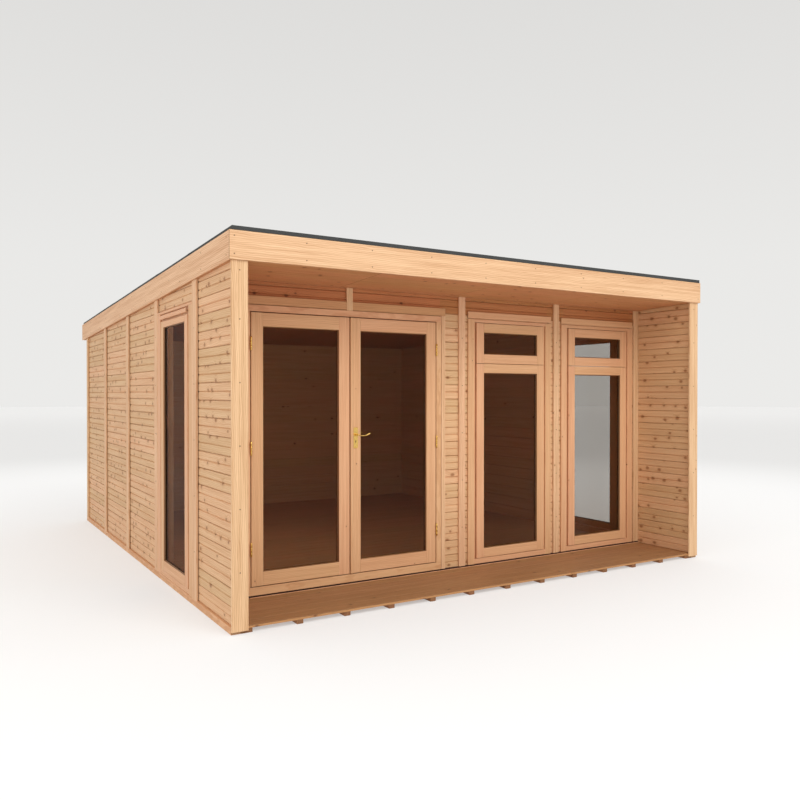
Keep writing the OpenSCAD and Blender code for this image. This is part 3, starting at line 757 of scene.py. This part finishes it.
KNUCKLE_R, KNUCKLE_EASE, HINGE_H, PIN_OUT = 0.0065, 0.0008, 0.100, 0.0095
LEAF_PLATE_T, PLATE_FROM, PLATE_TO = 0.0012, 0.004, 0.030
THIRD = (HINGE_H - 0.0012) / 3      # height of a knuckle, less the gaps between them
HINGE_AT = [leaf_lo.z + h for h in (0.262, 0.970, 1.708)]
for side, s in (("left", -1), ("right", 1)):
    pin_x = (d0 if s < 0 else d1) - s * LEAF_GAP / 2
    pin_y = leaf_lo.y - PIN_OUT
    fixed, moving = Metal(), Metal()
    for z in HINGE_AT:
        foot = [(KNUCKLE_R - KNUCKLE_EASE, 0), (KNUCKLE_R, KNUCKLE_EASE)]
        eased = foot + [(KNUCKLE_R, THIRD - KNUCKLE_EASE), (KNUCKLE_R - KNUCKLE_EASE, THIRD)]
        cap = foot + [(KNUCKLE_R, THIRD - 0.004), (KNUCKLE_R - 0.001, THIRD - 0.0035),
                      (KNUCKLE_R - 0.001, THIRD - 0.0025), (KNUCKLE_R - 0.0025, THIRD - 0.0006),
                      (KNUCKLE_R - 0.0045, THIRD)]
        fixed.turned(cap, (pin_x, pin_y, z + HINGE_H / 2 - THIRD), (0, 0, 1))
        fixed.turned(cap, (pin_x, pin_y, z - HINGE_H / 2 + THIRD), (0, 0, -1))
        moving.turned(eased, (pin_x, pin_y, z - THIRD / 2), (0, 0, 1))
        for half, away in ((fixed, s), (moving, -s)):
            face_x = pin_x + away * LEAF_GAP / 2
            a, b = sorted((face_x, face_x - away * LEAF_PLATE_T))
            tall = THIRD if half is moving else HINGE_H
            half.plate((a, pin_y + PLATE_FROM, z - tall / 2),
                       (b, leaf_lo.y + PLATE_TO, z + tall / 2))
    fixed.piece(side + "_hinge_frame_halves", BODY, "brass", side + "_hinge_frame_halves")
    moving.piece(side + "_hinge_leaf_halves", side + "_leaf", "brass", side + "_hinge_leaf_halves")


# ---- Lever handle ----
# A cast brass lever on each face of the right leaf, joined by a square spindle, over
# a long back plate with a keyhole. The plate is held by a screw at each end.

plate_lo, plate_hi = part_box("handle_plates")
SPINDLE_UP, SPINDLE_W, SPINDLE_IN = 0.103, 0.007, 0.002
SPINDLE_X = (plate_lo.x + plate_hi.x) / 2
SPINDLE_Z = plate_lo.z + SPINDLE_UP
PLATE_W, PLATE_CORNER, PLATE_EASE = 0.038, 0.006, 0.001
PLATE_T, KEY_DOWN, BOSS_R = 0.004, 0.048, 0.0085
LEVER_L, LEVER_OUT = 0.104, 0.046


def lever_line(x):
    """Height of the lever's middle: level, then a dip, then a curl at its end."""
    dip = -0.007 * math.sin(math.pi * min(1.0, x / (0.82 * LEVER_L)))
    curl = max(0.0, (x - 0.62 * LEVER_L) / (0.38 * LEVER_L))
    return dip + 0.011 * curl * curl


def back_plate(metal, y, out):
    """A plate with rounded corners, eased edges and a keyhole cut through it."""
    wide = PLATE_W / 2 - PLATE_CORNER
    low = PLATE_CORNER - SPINDLE_UP
    high = plate_hi.z - SPINDLE_Z - PLATE_CORNER

    def outline(inset, depth):
        r = PLATE_CORNER - inset
        points = []
        for cx, cz, start in ((wide, high, 0), (-wide, high, 90),
                              (-wide, low, 180), (wide, low, 270)):
            for k in range(5):
                t = math.radians(start + 22.5 * k)
                points.append((cx + r * math.cos(t), cz + r * math.sin(t)))
        return [Vector((SPINDLE_X + px, y + out * depth, SPINDLE_Z + pz)) for px, pz in points]

    def keyhole(depth):
        points = [(-0.002, -0.018), (-0.002, -0.004)]
        points += [(0.0045 * math.sin(t), 0.0045 * math.cos(t))
                   for t in (math.radians(a) for a in range(-150, 151, 30))]
        points += [(0.002, -0.004), (0.002, -0.018)]
        return [Vector((SPINDLE_X + px, y + out * depth, SPINDLE_Z - KEY_DOWN + pz))
                for px, pz in points]

    metal.skin([outline(0, 0), outline(0, PLATE_T - PLATE_EASE), outline(PLATE_EASE, PLATE_T)],
               close=False)
    metal.skin([keyhole(0), keyhole(PLATE_T)], close=False)
    for depth, inset in ((0, 0), (PLATE_T, PLATE_EASE)):
        edges = []
        for loop in (outline(inset, depth), keyhole(depth)):
            verts = [metal.bm.verts.new(p) for p in loop]
            edges += [metal.bm.edges.new((a, b)) for a, b in zip(verts, verts[1:] + verts[:1])]
        bmesh.ops.triangle_fill(metal.bm, edges=edges, use_beauty=True)
    bmesh.ops.remove_doubles(metal.bm, verts=metal.bm.verts, dist=1e-6)
    bmesh.ops.recalc_face_normals(metal.bm, faces=metal.bm.faces)


def cast_lever(metal, y, out):
    """Boss, neck and a lever that tapers towards its curled end."""
    off_leaf = 0.0003
    base = Vector((SPINDLE_X, y + out * off_leaf, SPINDLE_Z))
    reach = LEVER_OUT - off_leaf
    metal.turned([(BOSS_R, 0), (BOSS_R, 0.006), (BOSS_R - 0.0015, 0.008), (0.0062, 0.011),
                  (0.0056, 0.020), (0.0062, reach - 0.010), (0.0072, reach - 0.006),
                  (0.0072, reach + 0.003), (0.0058, reach + 0.0052), (0.0025, reach + 0.0060)],
                 base, (0, out, 0))
    rings = []
    steps, sides = 26, 16
    for k in range(steps + 1):
        x = LEVER_L * k / steps
        slope = math.atan2(lever_line(x + 0.001) - lever_line(x - 0.001), 0.002)
        tall = 0.0050 - 0.0012 * math.sin(math.pi * k / steps)
        deep = 0.0052 - 0.0016 * k / steps
        if k == steps:
            tall, deep = tall * 0.45, deep * 0.45
        if k == steps - 1:
            tall, deep = tall * 0.88, deep * 0.88
        ring = []
        for j in range(sides):
            t = 2 * math.pi * j / sides
            up, across = tall * math.sin(t), deep * math.cos(t)
            ring.append(Vector((SPINDLE_X + x - up * math.sin(slope), y + out * LEVER_OUT + across,
                                SPINDLE_Z + lever_line(x) + up * math.cos(slope))))
        rings.append(ring)
    metal.skin(rings)


SCREW_IN = 0.010        # plate screws, from the ends of the plate
plates, lever, plate_screws = Metal(), Metal(), Metal()
for y, out in ((leaf_lo.y, -1), (leaf_lo.y + LEAF_T, 1)):
    back_plate(plates, y, out)
    cast_lever(lever, y, out)
    for z in (plate_lo.z + SCREW_IN, plate_hi.z - SCREW_IN):
        plate_screws.turned([(0.0035, 0), (0.0035, 0.0004), (0.0026, 0.0012), (0.0010, 0.0015)],
                            (SPINDLE_X, y + out * PLATE_T, z), (0, out, 0), sides=16)
half = SPINDLE_W / 2
lever.plate((SPINDLE_X - half, leaf_lo.y - SPINDLE_IN, SPINDLE_Z - half),
            (SPINDLE_X + half, leaf_lo.y + LEAF_T + SPINDLE_IN, SPINDLE_Z + half))

# the lock case, dark behind the keyhole
iron = Nodes("black_iron")
where = iron.add("ShaderNodeTexCoord", out=3)
pitted = iron.noise(where, 300.0, 3.0)
iron.done(Base_Color=iron.mix(pitted, colour(38, 32, 26), colour(66, 54, 42)), Metallic=0.6,
          Roughness=iron.span(pitted, 0.3, 0.7, 0.5, 0.8),
          Normal=iron.add("ShaderNodeBump", Strength=0.3, Distance=0.0003, Height=pitted))
lock = Metal()
for y, out in ((leaf_lo.y, -1), (leaf_lo.y + LEAF_T, 1)):
    a, b = sorted((y + out * 0.0002, y + out * 0.0012))
    z = SPINDLE_Z - KEY_DOWN
    lock.plate((SPINDLE_X - 0.007, a, z - 0.021), (SPINDLE_X + 0.007, b, z + 0.007))
lock.piece("lock_case", "right_leaf", "brass", material=iron.mat)
plates.piece("handle_plates", "right_leaf", "brass", "handle_plates")
plate_screws.piece("plate_screws", "right_leaf", "brass")
lever.piece("lever_handle", "lever", "brass", "lever_handle")


# ---- Windows ----
# Fixed frames set in the wall, with sashes of the same section as the doors.
# The front ones have a top light over a tall lower sash; the side ones are single.

SASH_T, SASH_STILE = 0.045, 0.076
SASH_LAP, SASH_GAP = 0.019, 0.004       # sash over the frame behind it, and free around it
FRAME_D = 0.100
TRIM_FACE, LIP_FACE, TRIM_BACK = 0.002, 0.004, 0.016    # depths of trims and lips
LIP_OUT, HEAD_UP, HEAD_SLOT = 0.021, 0.030, 0.009


def window(frame_made, sash_made, beads, lights, z_low, z1, trim_out, head_h, side=False):
    """One window drawn facing the front with its middle at x = 0 and its face at y = 0."""
    half = SASH_W / 2
    hole, inner, rim, lip = half + FRAME_OUT, half - SASH_LAP, half + SASH_GAP, half + LIP_OUT
    z0, z_head = lights[0][0], z1 + HEAD_UP
    b = frame_made.board
    # posts behind the sash, linings beside it, and trims on the boards
    for s in (-1, 1):
        x = sorted((s * hole, s * inner))
        b((x[0], SASH_T, z_low), (x[1], FRAME_D, z1 + FRAME_OUT), 2)
        x = sorted((s * hole, s * rim))
        b((x[0], TRIM_BACK, z_low), (x[1], SASH_T, z1 + FRAME_OUT), 2)
        x = sorted((s * lip, s * trim_out))
        b((x[0], TRIM_FACE, z_low), (x[1], TRIM_BACK, z_head), 2)
    # sill and head
    b((-inner, SASH_T, z_low), (inner, FRAME_D, z0 + SASH_LAP), 0)
    b((-inner, SASH_T, z1 - SASH_LAP), (inner, FRAME_D, z1 + FRAME_OUT), 0)
    b((-rim, TRIM_BACK, z_low), (rim, SASH_T, z0 - SASH_GAP), 0)
    b((-rim, TRIM_BACK, z1 + SASH_GAP), (rim, SASH_T, z1 + FRAME_OUT), 0)
    b((-lip, LIP_FACE, z_low), (lip, TRIM_BACK, z0 - SASH_GAP), 0)
    slot = 0.0 if side else HEAD_SLOT
    b((-trim_out, TRIM_FACE, z_head + slot), (trim_out, TRIM_BACK, z_head + head_h), 0)
    if not side:
        b((-lip, LIP_FACE, z1 + SASH_GAP), (lip, TRIM_BACK, z_head), 0)
    for z, t in lights:
        light(sash_made, beads, Vector((-half, 0, z)), Vector((half, SASH_T, t)),
              SASH_STILE, SASH_STILE, SASH_T, rebate=side)
    if side:
        # weather bar over the head, with a sloping top
        bar = [(-0.014, -0.0005), (0.018, -0.0005), (0.018, -0.004), (0.010, -0.012),
               (-0.014, -0.012)]
        frame_made.moulding(bar, Vector((-rim, 0, z1)), UP, Y, X, 2 * rim)


def shift(made, turn, offset):
    """Turns and moves what a timber holds to its place in the wall."""
    c, s = math.cos(turn), math.sin(turn)
    for v in made.bm.verts:
        x, y, z = v.co
        v.co = Vector((c * x - s * y, s * x + c * y, z)) + offset
        x, y, z = v[made.run]
        v[made.run] = Vector((c * x - s * y, s * x + c * y, z))


def join_timbers(parts, seed):
    """One piece from several timbers."""
    whole = Timber(seed)
    for part in parts:
        mesh = bpy.data.meshes.new("part")
        part.bm.to_mesh(mesh)
        part.bm.free()
        whole.bm.from_mesh(mesh)
        bpy.data.meshes.remove(mesh)
    return whole


TRANSOM, TRANSOM_GAP = 1.731, 0.004
low_sash = (sash_lo.z, TRANSOM - TRANSOM_GAP / 2)
top_sash = (TRANSOM + TRANSOM_GAP / 2, sash_hi.z)
FRONT_HEAD, SIDE_HEAD = 0.062, 0.0205   # heights of the trims over the windows
PANE_HALF = SASH_W / 2 - SASH_STILE
frames, sashes, beads = [], [], []
for k, x in enumerate(win_x):
    f, s, d = Timber(110 + k), Timber(115 + k), Timber(117 + k)
    window(f, s, d, [low_sash, top_sash], fwin_lo.z, sash_hi.z, HALF_TRIM, FRONT_HEAD)
    for part in (f, s, d):
        shift(part, 0.0, Vector((x, sash_lo.y, 0)))
    frames.append(f)
    sashes.append(s)
    beads.append(d)
join_timbers(beads, 120).piece("front_window_beads", shaded_bead_pine, BODY, "joinery")
join_timbers(frames, 118).piece("front_window_frames", joinery_pine, BODY, "joinery",
                                "front_window_frames")
join_timbers(sashes, 119).piece("front_window_sashes", joinery_pine, BODY, "joinery",
                                "front_window_sashes")
gl_lo, gl_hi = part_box("front_window_glass")
panes = []
for x in win_x:
    for z, t in (low_sash, top_sash):
        panes.append(((x - PANE_HALF, gl_lo.y, z + SASH_STILE),
                      (x + PANE_HALF, gl_hi.y, t - SASH_STILE)))
glaze("front_window_glass", panes, BODY, tinted_pane, "front_window_glass")

ss_lo, ss_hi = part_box("side_window_sashes")
side_mid = (ss_lo.y + ss_hi.y) / 2
frames, sashes, beads, panes = [], [], [], []
for s in (-1, 1):
    f, t, d = Timber(120 + s), Timber(125 + s), Timber(127 + s)
    window(f, t, d, [(ss_lo.z, ss_hi.z)], win_lo.z, ss_hi.z, (side_bay - SIDE_BATTEN) / 2,
           SIDE_HEAD, side=True)
    for part in (f, t, d):
        shift(part, s * math.pi / 2, Vector((s * ss_hi.x, side_mid, 0)))
    frames.append(f)
    sashes.append(t)
    beads.append(d)
    a, b = sorted((s * (ss_hi.x - GLASS_IN), s * (ss_hi.x - GLASS_IN - GLASS_T)))
    panes.append(((a, side_mid - PANE_HALF, ss_lo.z + SASH_STILE),
                  (b, side_mid + PANE_HALF, ss_hi.z - SASH_STILE)))
join_timbers(beads, 130).piece("side_window_beads", shaded_bead_pine, BODY, "joinery")
join_timbers(frames, 128).piece("side_window_frames", joinery_pine, BODY, "joinery",
                                "side_window_frames")
join_timbers(sashes, 129).piece("side_window_sashes", joinery_pine, BODY, "joinery",
                                "side_window_sashes")
glaze("side_window_glass", panes, BODY, pane_material("clear_side_pane", 1.03),
      "side_window_glass")


# ---- Ceiling and roof ----
# Panels of boards nailed under the joists make the ceiling and the soffit of the canopy.
# Joists carry the roof boards, and felt covers them and turns down at the edges.

made = Timber(130)
SHEET_W, SHEET_GAP, ROW_GAP = 1.03, 0.0015, 0.0004
SHEETS = [roof_lo.x] + [-1.12 + k * SHEET_W for k in range(3)] + [roof_hi.x]
CEILING_ROWS = 42
row = (roof_hi.y - roof_lo.y) / CEILING_ROWS
for a, b in zip(SHEETS, SHEETS[1:]):
    for k in range(CEILING_ROWS):
        y = roof_lo.y + k * row
        made.board((a + SHEET_GAP, y, soffit_front),
                   (b - SHEET_GAP, y + row - ROW_GAP, soffit_front + CEILING_T),
                   along=0, edge=0.001)
made.slope(fall, roof_lo.y)
made.piece("ceiling", ceiling_pine, BODY, "ceiling_boards", "ceiling")

made = Timber(131)
FASCIA_H = 0.180
JOISTS, JOIST_W = 9, 0.045
for i in range(JOISTS):
    x = roof_lo.x + i * (roof_hi.x - roof_lo.x - JOIST_W) / (JOISTS - 1)
    made.board((x, roof_lo.y, soffit_front + CEILING_T),
               (x + JOIST_W, roof_hi.y, soffit_front + FASCIA_H), along=1)
made.slope(fall, roof_lo.y)
made.piece("roof_joists", rough_sawn, BODY, "roof_timber", "roof_joists")

felt_lo, felt_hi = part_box("roof_felt")
DECK_T, FELT_T, FELT_EDGE = 0.020, 0.005, 0.003
ROOF_BOARDS, ROOF_GAP = 40, 0.001
top_z = soffit_front + FASCIA_H
y0, y1 = felt_lo.y + FELT_EDGE, felt_hi.y - FELT_EDGE
roof_row = (y1 - y0) / ROOF_BOARDS
made = Timber(132)
for k in range(ROOF_BOARDS):
    y = y0 + k * roof_row
    made.board((felt_lo.x + FELT_EDGE, y, top_z),
               (felt_hi.x - FELT_EDGE, y + roof_row - ROOF_GAP, top_z + DECK_T), along=0)
made.slope(fall, roof_lo.y)
made.piece("roof_boards", rough_sawn, BODY, "roof_timber", "roof_boards")


def felt_material():
    n = Nodes("mineral_felt")
    where = n.add("ShaderNodeTexCoord", out=3)
    grit = n.noise(where, 900.0, 2.0, 0.7)
    stain = n.noise(where, 1.6, 5.0, 0.6)
    tint = n.mix(n.span(grit, 0.3, 0.7), colour(40, 43, 44), colour(78, 80, 80))
    tint = n.mix(n.maths("MULTIPLY", stain, 0.5), tint, colour(52, 50, 46))
    bump = n.add("ShaderNodeBump", Strength=0.6, Distance=0.0012, Height=grit)
    return n.done(Base_Color=tint, Roughness=n.span(stain, 0.3, 0.8, 0.82, 0.95), Normal=bump)


mineral_felt = felt_material()

# sheets laid across the roof, every other one lapped over its neighbours
FELT_ROWS, LAP_T, LAP_W = 6, 0.0015, 0.06
sheet_w = (felt_hi.y - felt_lo.y) / FELT_ROWS
made = Timber(133)
for k in range(FELT_ROWS):
    a = felt_lo.y + k * sheet_w
    b = min(a + sheet_w + LAP_W, felt_hi.y)
    thick = FELT_T if k % 2 == 0 else FELT_T - LAP_T
    made.board((felt_lo.x, a, top_z + DECK_T), (felt_hi.x, b, top_z + DECK_T + thick),
               along=0, edge=SAWN_EDGE)
# strips turned down at the edges
TURN_UP = 0.001
for a, b in (((felt_lo.x, felt_lo.y), (felt_hi.x, felt_lo.y + FELT_EDGE)),
             ((felt_lo.x, y1), (felt_hi.x, felt_hi.y)),
             ((felt_lo.x, y0), (felt_lo.x + FELT_EDGE, y1)),
             ((felt_hi.x - FELT_EDGE, y0), (felt_hi.x, y1))):
    made.board((a[0], a[1], top_z), (b[0], b[1], top_z + DECK_T + TURN_UP),
               along=0 if b[0] - a[0] > 1 else 1, edge=0.0005)
made.slope(fall, roof_lo.y)
made.piece("roof_felt", mineral_felt, BODY, "felt", "roof_felt")


# ---- Fascias ----
# Deep planed boards nailed to the joist ends all round; the front one covers the
# ends of the two side ones.

ff_lo, ff_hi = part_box("front_fascia")
sf_lo, sf_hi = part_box("side_fascias")
rf_lo, rf_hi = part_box("rear_fascia")
FASCIA_T = 0.016
HEAD_ROOM = 0.0014      # faces stand back to leave room for the heads of the screws
ff_lo = ff_lo + Vector((HEAD_ROOM, HEAD_ROOM, 0))
ff_hi = ff_hi - Vector((HEAD_ROOM, 0, 0))
sf_lo = sf_lo + Vector((HEAD_ROOM, 0, 0))
sf_hi = sf_hi - Vector((HEAD_ROOM, 0, 0))
rf_lo = rf_lo + Vector((HEAD_ROOM, 0, 0))
rf_hi = rf_hi - Vector((HEAD_ROOM, HEAD_ROOM, 0))
made = Timber(140)
made.board(ff_lo, ff_hi, along=0, edge=PLANED_EDGE)
made.piece("front_fascia", oiled_pine, BODY, "fascia", "front_fascia")
made = Timber(141)
side_t = FASCIA_T - HEAD_ROOM
for x in (sf_lo.x, sf_hi.x - side_t):
    made.board((x, sf_lo.y, soffit_front), (x + side_t, sf_hi.y, top_z), along=1, edge=PLANED_EDGE)
made.slope(fall, roof_lo.y)
made.piece("side_fascias", oiled_pine, BODY, "fascia", "side_fascias")
made = Timber(142)
made.board(rf_lo, rf_hi, along=0, edge=PLANED_EDGE)
made.piece("rear_fascia", oiled_pine, BODY, "fascia", "rear_fascia")


# ---- Screws ----
# Countersunk steel screws hold the posts, battens and fascias. Their dark brown-grey is partly a
# bronze tint on the steel, partly painted shade in their countersinks.

# the screw steel is painted dark brown-grey as shade in the countersinks
steel = Nodes("weathered_steel")
where = steel.add("ShaderNodeTexCoord", out=3)
dull = steel.noise(where, 400.0, 3.0)
steel.done(Base_Color=steel.mix(dull, colour(112, 84, 58), colour(150, 122, 92)), Metallic=0.7,
           Roughness=steel.span(dull, 0.3, 0.7, 0.45, 0.7),
           Normal=steel.add("ShaderNodeBump", Strength=0.2, Distance=0.0002, Height=dull))

SCREW_STEP, FIRST_SCREW, LAST_STEP = 0.389, 0.334, 0.300
FASCIA_IN = 0.035       # rows of screws, from the edges of a fascia
FRONT_END, SIDE_END = 0.03, 0.05        # and from its ends
SCREW_HEAD = [(0.0042, 0), (0.0042, 0.0004), (0.0034, 0.0010), (0.0012, 0.0013), (0.0010, 0.0006)]
screws = Metal()


def screw(x, y, z, axis):
    screws.turned(SCREW_HEAD, (x, y, z), axis, sides=12)


heights = [floor_top + FIRST_SCREW + k * SCREW_STEP for k in range(5)]
for z in heights + [heights[-1] + LAST_STEP]:
    for s in (-1, 1):
        screw(s * (post_hi.x - POST_W / 2), post_lo.y, z, (0, -1, 0))
for z in heights:
    for s in (-1, 1):
        for y in side_y[:-1] + [side_y[-1] - 0.006]:
            screw(s * (side_face + BATTEN_T), y, z, (s, 0, 0))
    for x in rear_x:
        screw(x, rb_hi.y, z, (0, 1, 0))
    for x in (0.0, PANEL_W):
        screw(x, fb_lo.y, z, (0, -1, 0))
FRONT_SCREWS, SIDE_SCREWS = 10, 11
fascia_rows = (soffit_front + FASCIA_IN, top_z - FASCIA_IN)
for k in range(FRONT_SCREWS):
    x = ff_lo.x + FRONT_END + k * (ff_hi.x - ff_lo.x - 2 * FRONT_END) / (FRONT_SCREWS - 1)
    for z in fascia_rows:
        screw(x, ff_lo.y, z, (0, -1, 0))
        screw(x, rf_hi.y, z - fall * (rf_lo.y - roof_lo.y), (0, 1, 0))
for k in range(SIDE_SCREWS):
    y = sf_lo.y + SIDE_END + k * (sf_hi.y - sf_lo.y - 2 * SIDE_END) / (SIDE_SCREWS - 1)
    for z in fascia_rows:
        for s in (-1, 1):
            screw(s * sf_hi.x, y, z - fall * (y - roof_lo.y), (s, 0, 0))
screws.piece("screws", BODY, "brass", material=steel.mat)


# ---- Floor, light and camera ----
# A pale studio floor that fades into a light grey room, soft light from the front
# and above, and a camera at standing height.

def studio_floor():
    n = Nodes("studio_floor")
    where = n.add("ShaderNodeTexCoord", out=3)
    far = n.add("ShaderNodeVectorMath", operation="LENGTH", out=1, i0=where)
    mottle = n.noise(where, 0.6, 2.0)
    tint = n.mix(n.span(far, 2.5, 7.0), (0.508, 0.508, 0.506, 1), (0.532, 0.531, 0.529, 1))
    tint = n.mix(n.span(far, 7.0, 13.0), tint, (0.455, 0.453, 0.449, 1))
    tint = n.mix(n.span(far, 18.0, 60.0), tint, (0.49, 0.488, 0.484, 1))
    tint = n.mix(n.maths("MULTIPLY", mottle, 0.02), tint, (0.45, 0.45, 0.45, 1))
    return n.done(Base_Color=tint, Roughness=0.9, Emission_Color=tint, Emission_Strength=0.8)


bm = bmesh.new()
bmesh.ops.create_circle(bm, cap_ends=True, segments=128, radius=90)
mesh = bpy.data.meshes.new("studio_floor")
bm.to_mesh(mesh)
bm.free()
floor_piece = bpy.data.objects.new("studio_floor", mesh)
bpy.context.collection.objects.link(floor_piece)
mesh.materials.append(studio_floor())

world = bpy.data.worlds.new("studio")
bpy.context.scene.world = world
world.use_nodes = True
sky = world.node_tree
up = sky.nodes.new("ShaderNodeSeparateXYZ")
ramp = sky.nodes.new("ShaderNodeValToRGB")
sky.links.new(sky.nodes.new("ShaderNodeTexCoord").outputs["Generated"], up.inputs[0])
sky.links.new(up.outputs[2], ramp.inputs[0])
sky.links.new(ramp.outputs[0], sky.nodes["Background"].inputs[0])
ramp.color_ramp.elements[0].position = 0.0
ramp.color_ramp.elements[0].color = (0.835, 0.83, 0.815, 1)
ramp.color_ramp.elements[1].position = 0.5
ramp.color_ramp.elements[1].color = (0.72, 0.713, 0.70, 1)
middle = ramp.color_ramp.elements.new(0.16)
middle.color = (0.82, 0.815, 0.80, 1)


def softbox(name, place_at, aim, size, power, tint=(1, 1, 1)):
    data = bpy.data.lights.new(name, "AREA")
    data.shape, data.size, data.energy, data.color = "SQUARE", size, power, tint
    lamp = bpy.data.objects.new(name, data)
    bpy.context.collection.objects.link(lamp)
    lamp.location = place_at
    lamp.rotation_euler = (Vector(aim) - Vector(place_at)).to_track_quat("-Z", "Y").to_euler()


softbox("key", (0.4, -9.5, 8.0), (0, -1, 1.2), 6.0, 395, (1.0, 0.988, 0.97))
softbox("fill", (-8.0, -4.5, 5.0), (-3, -1.5, 0.4), 4.5, 72, (1.0, 0.97, 0.93))
softbox("room", (-1.0, -1.3, 2.05), (-1.2, 1.6, 0.8), 0.5, 11, (1.0, 0.94, 0.88))
overhead = bpy.data.lights.new("overhead", "SUN")
overhead.energy, overhead.angle = 0.5, math.radians(120)
lamp = bpy.data.objects.new("overhead", overhead)
bpy.context.collection.objects.link(lamp)

EYE = Vector((-3.74018, -7.14396, 1.47621))
AIM = math.radians(31.432)
DIP = math.radians(0.447)
camera = bpy.data.cameras.new("camera")
camera.sensor_width = 36.0
camera.lens = 34.63
eye = bpy.data.objects.new("camera", camera)
bpy.context.collection.objects.link(eye)
eye.location = EYE
eye.rotation_euler = (math.pi / 2 - DIP, 0.0, -AIM)
bpy.context.scene.camera = eye
bpy.context.scene.view_settings.view_transform = "Standard"
